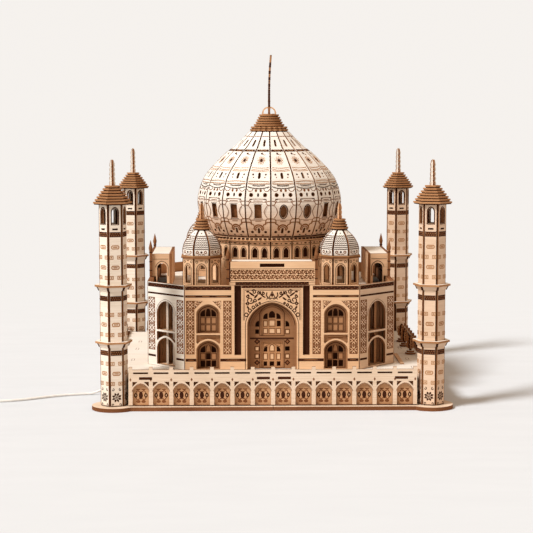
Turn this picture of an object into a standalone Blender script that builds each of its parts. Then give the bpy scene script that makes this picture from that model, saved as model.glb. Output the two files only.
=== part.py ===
"""Laser-cut plywood model of a domed mausoleum with four towers, with a small USB lamp inside.

Every piece is its own object, in metres, with +Z up. The origin is at the centre of the base plates'
underside, and the front faces -Y. All the lengths below are in millimetres.
"""

import math

import bmesh
import bpy
from mathutils import Matrix, Vector
from mathutils.geometry import tessellate_polygon

MM = 0.001
GAP = 0.3  # clearance between pieces that meet
PLY = 2.0  # one sheet of plywood

# Base and terrace
BASE_THICK = 3.0
BASE_HALF = 131.5
PAD_RADIUS = 17.0
TOWER_OFFSET = 120.0
WALL_OUTER = 127.0
WALL_THICK = 4.0
WALL_HALF = 109.0
RAIL_TOP = 30.6
POST_TOP = 32.7
POST_WIDTH = 2.8
ARCH_PITCH = 15.34
ARCH_COUNT = 14
DECK_TOP = 25.3
DECK_HALF = 122.6
DECK_NOTCH = 108.7
DECK_SEAM = -18.0
LAMP_HOLE = 12.5
CABLE_NOTCH_Y = -62.0

# Towers
TOWER_RADIUS = 10.8
TOWER_INNER = 8.4
TOWER_TOP = 154.7
BALCONY_TOPS = {"lower": 52.3, "upper": 95.0}
BALCONY_THICK = 4.5
BALCONY_RADIUS = 13.8
ROOF_LAYERS = (14.6, 13.4, 12.0, 10.5, 9.0, 7.4, 6.0)
TOWER_FINIAL_TOP = 189.0

# Main building
HOUSE_HALF = 97.4
FACADE_HALF = 67.4
HOUSE_BOTTOM = DECK_TOP + GAP
PARAPET_TOP = 91.1
HOUSE_WALL = 4.0
BAY_X = 49.2
BAY_HALF = 9.2
CORNER_ARCH_HALF = 10.5
STOREYS = ((HOUSE_BOTTOM, 41.0, 48.4), (53.5, 69.0, 76.6))
PORTAL_HALF = 19.2
PORTAL_SPRING = 60.5
PORTAL_APEX = 78.1
SLOT_X = (23.8, 28.2)
SLOT_Z = (37.0, 85.5)
ATTIC_HALF = 33.0
ATTIC_TOP = 109.5
ATTIC_DEPTH = 18.0
PINNACLE_TOP = 121.0
ROOF_TOP = 83.0
ROOF_HALF = 92.8

# Corner kiosks
KIOSK_OFFSET = 54.7
KIOSK_RADIUS = 16.45
KIOSK_INNER = 14.2
KIOSK_SILL = 89.4
KIOSK_TOP = 111.0
EAVE_RADIUS = 17.6

# Drum, dome and crown
GORES = 18
DRUM_RADIUS = 50.5
DRUM_INNER = 48.0
DRUM_TOP = 123.6
DOME_WALL = 2.4
CROWN_BOTTOM = 207.6
CROWN_LAYERS = (16.6, 15.6, 14.2, 12.6, 10.8, 9.2, 7.7)
SPIRE_BOTTOM = 230.3
SPIRE_TOP = 270.0

# Lamp and cable
CABLE_RADIUS = 1.0
COIL_CENTRE = (-252.0, -76.0)
COIL_RADII = (8.0, 14.0)
COIL_HEIGHT = 8.1
PLUG_X = -265.0
PLUG_REAR_Y = -56.0

SIDES = {"front": 0, "right": 90, "back": 180, "left": 270}
CORNERS = {"front_right": 0, "back_right": 90, "back_left": 180, "front_left": 270}

COLOURS = {
    "ply_outer": ((0.82, 0.63, 0.44), 0.62, 0.0),
    "ply_light": ((0.88, 0.76, 0.62), 0.62, 0.0),
    "ply_inner": ((0.50, 0.29, 0.15), 0.7, 0.0),
    "lamp": ((0.95, 0.93, 0.86), 0.4, 0.0),
    "cable": ((0.92, 0.90, 0.87), 0.45, 0.0),
    "plug": ((0.75, 0.75, 0.77), 0.3, 0.6),
}


# ---------------------------------------------------------------- tools
def clear_scene():
    for obj in list(bpy.data.objects):
        bpy.data.objects.remove(obj)


def make_material(slot, piece):
    """A Principled material of the piece's own, with its slot's colour, roughness and metallic value."""
    colour, roughness, metallic = COLOURS[slot]
    material = bpy.data.materials.new(piece)
    material.use_nodes = True
    shader = material.node_tree.nodes["Principled BSDF"]
    shader.inputs["Base Color"].default_value = (*colour, 1.0)
    shader.inputs["Roughness"].default_value = roughness
    shader.inputs["Metallic"].default_value = metallic
    return material


def add_object(name, bm, slot, placement=None):
    """Turns a bmesh in millimetres into an object in metres. A slot of None makes a hidden helper."""
    bmesh.ops.scale(bm, vec=(MM, MM, MM), verts=bm.verts)
    bmesh.ops.recalc_face_normals(bm, faces=bm.faces)
    mesh = bpy.data.meshes.new(name)
    bm.to_mesh(mesh)
    bm.free()
    obj = bpy.data.objects.new(name, mesh)
    bpy.context.scene.collection.objects.link(obj)
    if placement is not None:
        obj.matrix_world = in_metres(placement)
    if slot is None:
        obj.hide_render = True
        obj.display_type = "WIRE"
    else:
        mesh.materials.append(make_material(slot, name))
    return obj


def in_metres(placement):
    scaled = placement.copy()
    scaled.translation = scaled.translation * MM
    return scaled


def boolean(obj, operation, helper):
    modifier = obj.modifiers.new(helper.name, "BOOLEAN")
    modifier.operation = operation
    modifier.object = helper


def turn_z(degrees):
    return Matrix.Rotation(math.radians(degrees), 4, "Z")


def panel_frame(degrees):
    """Local x runs along a wall, local y is height, and local z is the distance out from the centre."""
    return turn_z(degrees) @ Matrix.Rotation(math.radians(90), 4, "X")


def merged(*parts):
    """One bmesh holding several separate bodies, for a Boolean helper."""
    whole = bmesh.new()
    for part in parts:
        mesh = bpy.data.meshes.new("part_of_helper")
        part.to_mesh(mesh)
        part.free()
        whole.from_mesh(mesh)
        bpy.data.meshes.remove(mesh)
    return whole


def extruded(outline, low, high, holes=()):
    """A closed prism over a flat outline, with holes, from local z low to high."""
    bm = bmesh.new()
    loops = [list(outline), *[list(hole) for hole in holes]]
    ends = [[[bm.verts.new((x, y, z)) for x, y in loop] for loop in loops] for z in (low, high)]
    triangles = tessellate_polygon([[Vector((x, y, 0)) for x, y in loop] for loop in loops])
    for end in ends:
        corners = [vert for loop in end for vert in loop]
        for triangle in triangles:
            bm.faces.new([corners[i] for i in triangle])
    for bottom, top in zip(*ends):
        for i in range(len(bottom)):
            j = (i + 1) % len(bottom)
            bm.faces.new((bottom[i], bottom[j], top[j], top[i]))
    return bm


def turned(profile, sides, phase=0.0, ring=False):
    """A solid of revolution about Z with flat sides. The corners stand at phase degrees and on.

    A ring's profile is a closed loop off the axis; any other profile starts and ends on the axis."""
    bm = bmesh.new()
    start = math.radians(phase)
    points = [bm.verts.new((r * math.cos(start), r * math.sin(start), z)) for r, z in profile]
    edges = [bm.edges.new(pair) for pair in zip(points, points[1:])]
    if ring:
        edges.append(bm.edges.new((points[-1], points[0])))
    bmesh.ops.spin(
        bm,
        geom=points + edges,
        cent=(0, 0, 0),
        axis=(0, 0, 1),
        angle=2 * math.pi,
        steps=sides,
        use_merge=True,
    )
    bmesh.ops.remove_doubles(bm, verts=bm.verts, dist=1e-4)
    return bm


def rectangle(x0, z0, x1, z1):
    return [(x0, z0), (x1, z0), (x1, z1), (x0, z1)]


def arch(centre, half, bottom, spring, apex, steps=4):
    """A gently pointed arch standing on bottom, as one closed outline."""
    points = [(centre - half, bottom), (centre + half, bottom)]
    for i in range(2 * steps + 1):
        across = 1 - i / steps
        rise = (1 - abs(across) ** 1.7) ** 0.55
        points.append((centre + half * across, spring + (apex - spring) * rise))
    return points


def circle(radius, steps, centre=(0.0, 0.0)):
    turns = [2 * math.pi * i / steps for i in range(steps)]
    return [(centre[0] + radius * math.cos(a), centre[1] + radius * math.sin(a)) for a in turns]


def layered(radii, bottom, thick, above):
    """A profile for a stack of ever smaller sheets, closed on the axis at the height above."""
    profile = [(0.0, bottom)]
    for i, radius in enumerate(radii):
        profile += [(radius, bottom + thick * i), (radius, bottom + thick * (i + 1))]
    return [*profile, *above]


def smooth_route(points, spacing):
    """Points every spacing along a Catmull-Rom curve through the given points."""
    route = [Vector(p) for p in points]
    ends = [2 * route[0] - route[1], *route, 2 * route[-1] - route[-2]]
    dense = []
    for p0, p1, p2, p3 in zip(ends, ends[1:], ends[2:], ends[3:]):
        for i in range(16):
            t = i / 16
            dense.append(
                0.5
                * (
                    2 * p1
                    + (p2 - p0) * t
                    + (2 * p0 - 5 * p1 + 4 * p2 - p3) * t**2
                    + (3 * p1 - p0 - 3 * p2 + p3) * t**3
                )
            )
    dense.append(route[-1])
    kept, travelled = [dense[0]], 0.0
    for before, after in zip(dense, dense[1:]):
        travelled += (after - before).length
        if travelled >= spacing:
            kept.append(after)
            travelled = 0.0
    if travelled < spacing / 2:
        kept.pop()
    return [*kept, dense[-1]]


def cable(name, points, spacing):
    """A round cable as a curve with a bevel and filled caps."""
    curve = bpy.data.curves.new(name, "CURVE")
    curve.dimensions = "3D"
    curve.bevel_depth = CABLE_RADIUS * MM
    curve.bevel_resolution = 2
    curve.use_fill_caps = True
    route = smooth_route(points, spacing)
    spline = curve.splines.new("POLY")
    spline.points.add(len(route) - 1)
    for point, place in zip(spline.points, route):
        point.co = (*(place * MM), 1.0)
    obj = bpy.data.objects.new(name, curve)
    bpy.context.scene.collection.objects.link(obj)
    curve.materials.append(make_material("cable", name))
    return obj


# ---------------------------------------------------------------- base and terrace
def base_plate_outline():
    """The left half of the base: straight edges and a round pad under each of its two towers."""
    reach = BASE_HALF - TOWER_OFFSET
    away = math.degrees(math.asin(reach / PAD_RADIUS))
    outline = []
    for side in (-1, 1):
        pad = (-TOWER_OFFSET, side * TOWER_OFFSET)
        first, last = (-away, away - 270) if side < 0 else (270 - away, away)
        for i in range(13):
            a = math.radians(first + (last - first) * i / 12)
            outline.append((pad[0] + PAD_RADIUS * math.cos(a), pad[1] + PAD_RADIUS * math.sin(a)))
    return [(-GAP / 2, -BASE_HALF), *outline, (-GAP / 2, BASE_HALF)]


def make_base():
    left = base_plate_outline()
    right = [(-x, y) for x, y in left]
    add_object("base_plate_left", extruded(left, 0, BASE_THICK), "ply_outer")
    add_object("base_plate_right", extruded(right, 0, BASE_THICK), "ply_outer")


def terrace_wall_outline():
    """A wall whose posts stand a little above its rail."""
    bottom = BASE_THICK + GAP
    outline = [(-WALL_HALF, bottom), (WALL_HALF, bottom)]
    for i in range(ARCH_COUNT + 1):
        x = ARCH_PITCH * (ARCH_COUNT / 2 - i)
        right, left = min(x + POST_WIDTH / 2, WALL_HALF), max(x - POST_WIDTH / 2, -WALL_HALF)
        outline += [(right, RAIL_TOP), (right, POST_TOP), (left, POST_TOP), (left, RAIL_TOP)]
    return outline


def make_terrace():
    inner = WALL_OUTER - WALL_THICK
    for side, degrees in SIDES.items():
        frame = panel_frame(degrees)
        name = f"terrace_wall_{side}"
        wall = add_object(name, extruded(terrace_wall_outline(), inner, WALL_OUTER), "ply_light", frame)
        niches = []
        for i in range(ARCH_COUNT):
            centre = ARCH_PITCH * (i + 0.5 - ARCH_COUNT / 2)
            niches.append(extruded(arch(centre, 6.2, 4.6, 13.0, 20.5, 3), WALL_OUTER - PLY, WALL_OUTER + 1))
        boolean(wall, "DIFFERENCE", add_object(f"{name}_niches", merged(*niches), None, frame))
        if side == "left":
            notch = extruded(arch(-CABLE_NOTCH_Y, 1.6, 2.0, 5.6, 7.2, 2), inner - 1, WALL_OUTER + 1)
            boolean(wall, "DIFFERENCE", add_object("cable_notch", notch, None, frame))


def make_decks():
    """Two deck plates that meet on a seam in front of the building, with the corners left to the towers."""
    low, high = DECK_TOP - PLY, DECK_TOP
    wide, notch = DECK_HALF, DECK_NOTCH
    front = [(-notch, -wide), (notch, -wide), (notch, -notch), (wide, -notch)]
    front += [(wide, DECK_SEAM - GAP / 2), (-wide, DECK_SEAM - GAP / 2), (-wide, -notch), (-notch, -notch)]
    back = [(-wide, DECK_SEAM + GAP / 2), (wide, DECK_SEAM + GAP / 2), (wide, notch), (notch, notch)]
    back += [(notch, wide), (-notch, wide), (-notch, notch), (-wide, notch)]
    add_object("terrace_deck_front", extruded(front, low, high), "ply_light")
    add_object("terrace_deck_back", extruded(back, low, high, [circle(LAMP_HOLE, 16)]), "ply_light")


# ---------------------------------------------------------------- towers
def tower_frame(degrees):
    return turn_z(degrees) @ Matrix.Translation((TOWER_OFFSET, -TOWER_OFFSET, 0))


def make_tower(corner, degrees):
    """A six-sided tower with a face towards the corner: shaft, two balconies and a layered roof."""
    frame = tower_frame(degrees)
    phase = -15.0
    bottom = BASE_THICK + GAP
    tube = [(TOWER_INNER, bottom), (TOWER_RADIUS, bottom)]
    tube += [(TOWER_RADIUS, TOWER_TOP), (TOWER_INNER, TOWER_TOP)]
    shaft = add_object(f"minaret_{corner}_shaft", turned(tube, 6, phase, ring=True), "ply_outer", frame)
    window = arch(0, 2.9, 140.4, 149.5, 153.0, 2)
    for i in range(3):
        cutter = extruded(window, -TOWER_RADIUS - 1, TOWER_RADIUS + 1)
        turn = Matrix.Rotation(math.radians(90), 4, "X")
        face = frame @ turn_z(phase + 30 + 90 + 60 * i) @ turn
        boolean(shaft, "DIFFERENCE", add_object(f"minaret_{corner}_window_{i}", cutter, None, face))
    hole = TOWER_RADIUS + GAP / math.cos(math.radians(30))
    for level, top in BALCONY_TOPS.items():
        low = top - BALCONY_THICK
        ring = [(hole, low), (hole + 1.0, low), (BALCONY_RADIUS, top - 1.5)]
        ring += [(BALCONY_RADIUS, top), (hole, top)]
        name = f"minaret_{corner}_{level}_balcony"
        add_object(name, turned(ring, 6, phase, ring=True), "ply_light", frame)
    start = TOWER_TOP + GAP
    peak = start + PLY * len(ROOF_LAYERS)
    beads = [(1.2, peak)]
    for i in range(4):
        beads += [(2.4, peak + 2.5 + 4.2 * i), (1.3, peak + 4.6 + 4.2 * i)]
    beads.append((0.0, TOWER_FINIAL_TOP))
    roof = turned(layered(ROOF_LAYERS, start, PLY, beads), 6, phase)
    add_object(f"minaret_{corner}_roof", roof, "ply_outer", frame)


# ---------------------------------------------------------------- main building
def make_facade(side, degrees):
    """One long wall: two storeys of niches in each bay, the portal's arch and the slots beside it."""
    frame = panel_frame(degrees)
    inner = HOUSE_HALF - HOUSE_WALL
    edge = FACADE_HALF - GAP
    outline = [(-edge, HOUSE_BOTTOM), (-PORTAL_HALF, HOUSE_BOTTOM)]
    outline += arch(0, PORTAL_HALF, HOUSE_BOTTOM, PORTAL_SPRING, PORTAL_APEX, 6)[:1:-1]
    outline += [(PORTAL_HALF, HOUSE_BOTTOM), (edge, HOUSE_BOTTOM)]
    outline += [(edge, PARAPET_TOP), (-edge, PARAPET_TOP)]
    low, high = SLOT_Z
    slots = [rectangle(SLOT_X[0], low, SLOT_X[1], high), rectangle(-SLOT_X[1], low, -SLOT_X[0], high)]
    wall = add_object(f"facade_{side}", extruded(outline, inner, HOUSE_HALF, slots), "ply_outer", frame)
    niches = []
    for centre in (-BAY_X, BAY_X):
        for bottom, spring, apex in STOREYS:
            below = bottom - 1 if bottom == HOUSE_BOTTOM else bottom
            niche = arch(centre, BAY_HALF, below, spring, apex)
            niches.append(extruded(niche, HOUSE_HALF - PLY, HOUSE_HALF + 1))
    boolean(wall, "DIFFERENCE", add_object(f"facade_{side}_niches", merged(*niches), None, frame))


def make_portal_screen(side, degrees):
    """The window screen set back in the portal's arch, with two storeys of three windows."""
    back = HOUSE_HALF - HOUSE_WALL - GAP
    windows = []
    for centre in (-6.3, 0.0, 6.3):
        windows.append(arch(centre, 2.1, 30.0, 40.0, 44.5, 2))
        windows.append(arch(centre, 2.1, 53.5, 62.0, 66.5, 2))
    outline = rectangle(-23.0, HOUSE_BOTTOM, 23.0, ROOF_TOP - PLY - GAP)
    plate = extruded(outline, back - 2 * PLY, back, windows)
    add_object(f"portal_screen_{side}", plate, "ply_inner", panel_frame(degrees))


def make_attic(side, degrees):
    """The hollow block above a portal. It stands on the roof behind the parapet, is open through its end
    walls, and has a pinnacle at each front corner."""
    frame = panel_frame(degrees)
    bottom = PARAPET_TOP + GAP
    low = HOUSE_HALF - ATTIC_DEPTH
    block = extruded(rectangle(-ATTIC_HALF, bottom, ATTIC_HALF, ATTIC_TOP), low, HOUSE_HALF - PLY + 0.2)
    attic = add_object(f"portal_attic_{side}", block, "ply_outer", frame)
    inner, outer = ATTIC_HALF - 0.2, ATTIC_HALF + 2.2
    middle = (inner + outer) / 2
    front = [(-outer, bottom), (outer, bottom), (outer, PINNACLE_TOP - 3), (middle, PINNACLE_TOP)]
    front += [(inner, PINNACLE_TOP - 3), (inner, ATTIC_TOP), (-inner, ATTIC_TOP)]
    front += [(-inner, PINNACLE_TOP - 3), (-middle, PINNACLE_TOP), (-outer, PINNACLE_TOP - 3)]
    plate = add_object(f"{attic.name}_front", extruded(front, HOUSE_HALF - PLY, HOUSE_HALF), None, frame)
    boolean(attic, "UNION", plate)
    foot = rectangle(-ATTIC_HALF, ROOF_TOP + GAP, ATTIC_HALF, bottom + PLY)
    foot_solid = extruded(foot, low, HOUSE_HALF - HOUSE_WALL - GAP)
    boolean(attic, "UNION", add_object(f"{attic.name}_foot", foot_solid, None, frame))
    middle_depth = HOUSE_HALF - PLY - (ATTIC_DEPTH - PLY) / 2
    tunnel = extruded(arch(0, 3.9, ROOF_TOP + PLY, 98.5, 102.0, 3), -ATTIC_HALF - 1, ATTIC_HALF + 1)
    across = turn_z(degrees) @ Matrix.Translation((0, -middle_depth, 0)) @ panel_frame(90)
    boolean(attic, "DIFFERENCE", add_object(f"{attic.name}_tunnel", tunnel, None, across))


def make_corner_wall(corner, degrees):
    """A wall across a cut-off corner of the building, open in two storeys of arches."""
    outer, near = HOUSE_HALF - GAP, FACADE_HALF + GAP
    inset = HOUSE_WALL * math.sqrt(2)
    far = HOUSE_HALF - inset
    plan = [(near, -outer), (outer, -near), (far, -FACADE_HALF), (FACADE_HALF, -far)]
    name = f"corner_wall_{corner}"
    wall = add_object(name, extruded(plan, HOUSE_BOTTOM, PARAPET_TOP), "ply_outer", turn_z(degrees))
    distance = (HOUSE_HALF + FACADE_HALF) / math.sqrt(2)
    openings = [
        extruded(arch(0, CORNER_ARCH_HALF, bottom, spring, apex), distance - HOUSE_WALL - 1, distance + 1)
        for bottom, spring, apex in ((HOUSE_BOTTOM + 1.2, 41.0, 48.4), STOREYS[1])
    ]
    cutter = add_object(f"{name}_arches", merged(*openings), None, panel_frame(degrees + 45))
    boolean(wall, "DIFFERENCE", cutter)


def make_roof_deck():
    """The building's flat roof, with a round hole that lets the lamp's light up into the dome."""
    cut = HOUSE_HALF + FACADE_HALF - HOUSE_WALL * math.sqrt(2) - 2 * GAP
    near = cut - ROOF_HALF
    outline = [(near, -ROOF_HALF), (ROOF_HALF, -near), (ROOF_HALF, near), (near, ROOF_HALF)]
    outline += [(-x, -y) for x, y in outline]
    add_object("roof_deck", extruded(outline, ROOF_TOP - PLY, ROOF_TOP, [circle(12.8, 16)]), "ply_light")


def make_kiosk(corner, degrees):
    """A small eight-sided kiosk with an arch in every face, under a ribbed dome of its own."""
    frame = turn_z(degrees) @ Matrix.Translation((KIOSK_OFFSET, -KIOSK_OFFSET, 0))
    bottom = ROOF_TOP + GAP
    eave = KIOSK_TOP - PLY
    profile = [(KIOSK_INNER, bottom), (KIOSK_RADIUS, bottom), (KIOSK_RADIUS, eave), (EAVE_RADIUS, eave)]
    profile += [(EAVE_RADIUS, KIOSK_TOP), (5.0, KIOSK_TOP), (5.0, eave), (KIOSK_INNER, eave)]
    kiosk = add_object(f"chhatri_{corner}_kiosk", turned(profile, 8, 22.5, ring=True), "ply_outer", frame)
    for i in range(4):
        cutter = extruded(arch(0, 3.6, KIOSK_SILL, 101.0, 105.0, 2), -KIOSK_RADIUS - 1, KIOSK_RADIUS + 1)
        face = frame @ panel_frame(45 * i)
        boolean(kiosk, "DIFFERENCE", add_object(f"{kiosk.name}_arch_{i}", cutter, None, face))
    start = KIOSK_TOP + GAP
    outer = [(16.0, start), (16.6, 114.5), (15.6, 120.0), (12.4, 125.6), (7.6, 129.4), (6.2, 130.6)]
    rings = [(6.2, 134.6), (5.4, 134.6), (5.4, 139.2), (1.6, 139.2), (2.0, 145.0), (0.0, 151.6)]
    inner = [(0.0, 127.4), (5.6, 127.0), (9.6, 123.6), (12.6, 119.0), (13.4, 114.5), (13.2, start)]
    add_object(f"chhatri_{corner}_dome", turned([*inner, *outer, *rings], 8, 22.5), "ply_outer", frame)


# ---------------------------------------------------------------- drum, dome and crown
def make_drum():
    """An eighteen-sided drum with two arched windows in every face and a cornice."""
    bottom, ledge = ROOF_TOP + GAP, DRUM_TOP - 2.6
    profile = [(DRUM_INNER, bottom), (DRUM_RADIUS, bottom), (DRUM_RADIUS, ledge), (53.0, ledge)]
    profile += [(53.0, DRUM_TOP), (DRUM_INNER, DRUM_TOP)]
    drum = add_object("drum", turned(profile, GORES, -90, ring=True), "ply_outer")
    windows = []
    for i in range(GORES):
        for x in (-3.65, 3.65):
            window = extruded(arch(x, 1.95, 108.3, 112.5, 115.0, 1), DRUM_INNER - 3, DRUM_RADIUS + 1)
            turn = panel_frame(360 / GORES * (i + 0.5))
            bmesh.ops.transform(window, matrix=turn, verts=window.verts)
            windows.append(window)
    boolean(drum, "DIFFERENCE", add_object("drum_windows", merged(*windows), None))


def dome_profile():
    """The dome's outside: it swells past the drum, then leans in to the crown."""
    low = DRUM_TOP + GAP
    swell = [(51.0, low), (52.9, 126.7), (56.0, 133.1), (58.7, 141.6), (59.9, 148.0), (59.5, 154.4)]
    shoulder = [(58.8, 158.6), (56.1, 167.1), (51.0, 175.0), (43.4, 183.1)]
    return [*swell, *shoulder, (35.6, 190.6), (28.1, 195.8), (21.3, 202.6), (16.7, 207.3)]


def inset_profile(profile, distance):
    """The same profile moved inwards, square to itself; its two ends stay level."""
    moved = []
    for i, (r, z) in enumerate(profile):
        before, after = profile[max(i - 1, 0)], profile[min(i + 1, len(profile) - 1)]
        along = Vector((after[0] - before[0], after[1] - before[1])).normalized()
        moved.append([r - along.y * distance, z + along.x * distance])
    moved[0][1], moved[-1][1] = profile[0][1], profile[-1][1]
    return moved


def make_dome():
    outer = dome_profile()
    inner = inset_profile(outer, DOME_WALL)
    add_object("main_dome", turned([*inner[::-1], *outer], GORES, -90, ring=True), "ply_light")


def make_crown():
    """Stacked rings on top of the dome, two crossed plates above them, and the spire."""
    plates_from = CROWN_BOTTOM + PLY * len(CROWN_LAYERS)
    stack = layered(CROWN_LAYERS, CROWN_BOTTOM, PLY, [(0.0, plates_from)])
    crown = add_object("dome_crown", turned(stack, GORES, -90), "ply_outer")
    rise = SPIRE_BOTTOM - GAP - plates_from
    fin = [(-6.0, plates_from - 0.5), (6.0, plates_from - 0.5), (5.6, plates_from + 0.35 * rise)]
    fin += [(3.6, plates_from + 0.75 * rise), (1.4, plates_from + rise), (-1.4, plates_from + rise)]
    fin += [(-3.6, plates_from + 0.75 * rise), (-5.6, plates_from + 0.35 * rise)]
    for i in range(2):
        sheet = extruded(fin, -PLY / 2, PLY / 2)
        boolean(crown, "UNION", add_object(f"crown_plate_{i}", sheet, None, panel_frame(45 + 90 * i)))
    stick = [(0.0, SPIRE_BOTTOM), (1.2, SPIRE_BOTTOM)]
    for i in range(5):
        z = SPIRE_BOTTOM + 3 + 5.2 * i
        stick += [(1.0, z), (1.7, z + 1.6), (1.0, z + 3.2)]
    stick += [(0.9, SPIRE_TOP - 3), (0.0, SPIRE_TOP)]
    add_object("spire", turned(stick, 8), "ply_outer")


# ---------------------------------------------------------------- garden, lamp and cable
def make_trees():
    """Small trees of two crossed leaves on round stands, on the right side of the terrace."""
    bottom = DECK_TOP + GAP
    for name, y in (("tree_front", -23.0), ("tree_middle", 19.0)):
        frame = Matrix.Translation((115.8, y, 0))
        stand = [(0.0, bottom), (4.4, bottom), (4.4, bottom + 1.5), (3.2, bottom + 1.5), (3.2, bottom + 3)]
        tree = add_object(name, turned([*stand, (0.0, bottom + 3)], 12), "ply_inner", frame)
        leaf = [(-1.0, bottom + 2.5), (1.0, bottom + 2.5), (3.1, bottom + 6.5), (2.6, bottom + 10.0)]
        leaf += [(0.9, bottom + 15.5), (-0.9, bottom + 15.5), (-2.6, bottom + 10.0), (-3.1, bottom + 6.5)]
        for i in range(2):
            placement = frame @ panel_frame(45 + 90 * i)
            sheet = extruded(leaf, -0.5, 0.5)
            boolean(tree, "UNION", add_object(f"{name}_leaf_{i}", sheet, None, placement))


def make_lamp():
    profile = [(0.0, 3.3), (11.0, 3.3), (11.0, 9.0), (6.5, 11.5), (6.5, 37.0), (4.6, 42.5), (0.0, 45.0)]
    add_object("led_lamp", turned(profile, 16), "lamp")


def make_cables():
    """The lead under the deck, the free run on the floor, the coil and the plug."""
    wall_end = 1.2 - WALL_OUTER
    inside = [(-11.4, 0, 5.6), (-30, -3, 4.6), (-60, -22, 4.3), (-88, -48, 4.3), (-108, -60, 4.5)]
    cable("lamp_lead", [*inside, (wall_end + GAP, CABLE_NOTCH_Y, 4.8)], 5.0)
    out = [(wall_end, CABLE_NOTCH_Y, 4.8), (-131.0, -62.0, 4.7), (-136.5, -62.4, 3.0), (-142.0, -63.2, 1.3)]
    floor = [(-148.5, -64.5), (-158.0, -67.4), (-167.4, -71.2), (-176.4, -76.4), (-185.6, -82.4)]
    floor += [(-197.0, -89.0), (-209.6, -93.3), (-222.0, -93.9), (-233.0, -91.9), (-241.2, -88.9)]
    cable("cable_lead", [*out, *[(x, y, 1.1) for x, y in floor]], 3.0)


def coil_ends():
    """The two short stretches of cable that join the coil, at its front and at its left side."""
    x, y = COIL_CENTRE
    arriving = rectangle(x - 1.0, y - COIL_RADII[1] - 0.2, x + 10.0, y - COIL_RADII[1] + 2.2)
    leaving = rectangle(PLUG_X - 1.1, y - 1.0, PLUG_X + 1.1, PLUG_REAR_Y - GAP)
    return arriving, leaving


def make_coil_and_plug():
    inner, outer = COIL_RADII
    x, y = COIL_CENTRE
    ring = [(inner, 0.05), (outer, 0.05), (outer, COIL_HEIGHT), (inner, COIL_HEIGHT)]
    coil = add_object("cable_coil", turned(ring, 24, ring=True), "cable", Matrix.Translation((x, y, 0)))
    arriving, leaving = coil_ends()
    boolean(coil, "UNION", add_object("coil_start", extruded(arriving, 0.1, 2.2), None))
    boolean(coil, "UNION", add_object("coil_end", extruded(leaving, 2.0, 8.0), None))
    frame = Matrix.Translation((PLUG_X, PLUG_REAR_Y, 0))
    grip = [(-3.0, 0), (3.0, 0), (6.6, 5), (6.6, 26), (-6.6, 26), (-6.6, 5)]
    plug = add_object("usb_plug", extruded(grip, 0.1, 7.5), "plug", frame)
    shell = extruded(rectangle(-6.0, 25, 6.0, 41), 1.55, 6.05)
    boolean(plug, "UNION", add_object("plug_shell", shell, None, frame))


def main():
    clear_scene()
    make_base()
    make_terrace()
    make_decks()
    for side, degrees in SIDES.items():
        make_facade(side, degrees)
        make_portal_screen(side, degrees)
        make_attic(side, degrees)
    for corner, degrees in CORNERS.items():
        make_tower(corner, degrees)
        make_corner_wall(corner, degrees)
        make_kiosk(corner, degrees)
    make_roof_deck()
    make_drum()
    make_dome()
    make_crown()
    make_trees()
    make_lamp()
    make_cables()
    make_coil_and_plug()
    bpy.context.view_layer.update()


main()
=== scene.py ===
"""Laser-cut plywood model of a domed mausoleum: its visible sheets, engraving and cable.

Lengths are in millimetres until a piece is finished. Sizes come from the frame's boxes, and the rest are
named below. On a wall, local x runs along it, local y is height and local z is the distance out."""

import math

import bpy
from mathutils import Matrix, Vector
from mathutils.geometry import tessellate_polygon


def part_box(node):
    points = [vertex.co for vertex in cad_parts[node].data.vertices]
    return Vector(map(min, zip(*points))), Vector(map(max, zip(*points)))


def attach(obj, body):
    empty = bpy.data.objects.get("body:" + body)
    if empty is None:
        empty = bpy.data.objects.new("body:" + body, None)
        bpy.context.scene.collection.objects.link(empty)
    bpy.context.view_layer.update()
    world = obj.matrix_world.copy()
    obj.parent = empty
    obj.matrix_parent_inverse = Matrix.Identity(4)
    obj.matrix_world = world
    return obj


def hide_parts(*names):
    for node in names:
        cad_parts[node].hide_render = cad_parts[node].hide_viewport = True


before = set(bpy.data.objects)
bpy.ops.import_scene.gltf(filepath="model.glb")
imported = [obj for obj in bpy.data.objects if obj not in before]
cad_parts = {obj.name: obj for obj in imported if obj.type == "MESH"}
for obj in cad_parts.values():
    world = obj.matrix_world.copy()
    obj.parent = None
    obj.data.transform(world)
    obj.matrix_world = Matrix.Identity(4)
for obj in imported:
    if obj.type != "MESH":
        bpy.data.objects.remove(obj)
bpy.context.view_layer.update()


def low(node):
    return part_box(node)[0] * 1000


def high(node):
    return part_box(node)[1] * 1000


GAP = 0.3  # between neighbouring pieces
PLY = 2.0  # one sheet
INK = 0.05  # how far engraving stands off its sheet
SINK = 0.1  # and how far it reaches into the sheet
SMOOTH_BELOW = 35  # degrees between faces that are shaded as one
LINE_WEIGHT = 1.6  # how much wider a burnt line is than the path it is drawn for

BASE_TOP = high("base_plate_left").z
BASE_HALF = 131.5
PAD_RADIUS = 17.0
TOWER_OFFSET = high("base_plate_right").x - PAD_RADIUS
WALL_OUTER = -low("terrace_wall_front").y
WALL_HALF = high("terrace_wall_front").x
POST_TOP = high("terrace_wall_front").z
RAIL_TOP = POST_TOP - 2.1
FENCE_SPRING = 14.2  # where the arches of the fence begin
ARCH_PITCH = 15.34
ARCH_COUNT = 14
DECK_TOP = high("terrace_deck_front").z
DECK_HALF = high("terrace_deck_front").x
DECK_NOTCH = 108.7
DECK_SEAM = high("terrace_deck_front").y + GAP / 2
CABLE_NOTCH_Y = -62.0

TOWER_RADIUS = 10.8
TOWER_TOP = high("minaret_front_left_shaft").z
TOWER_FINIAL_TOP = high("minaret_front_left_roof").z
ROOF_LAYERS = (14.7, 13.4, 12.0, 10.5, 9.0, 7.4, 6.0)
TOWER_BANDS = (132.9, 84.9, 43.8)
BRICK_ROWS = ((20.6, 3), (57.6, 3), (100.6, 4))  # the first height and the count, 7.6 apart

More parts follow.
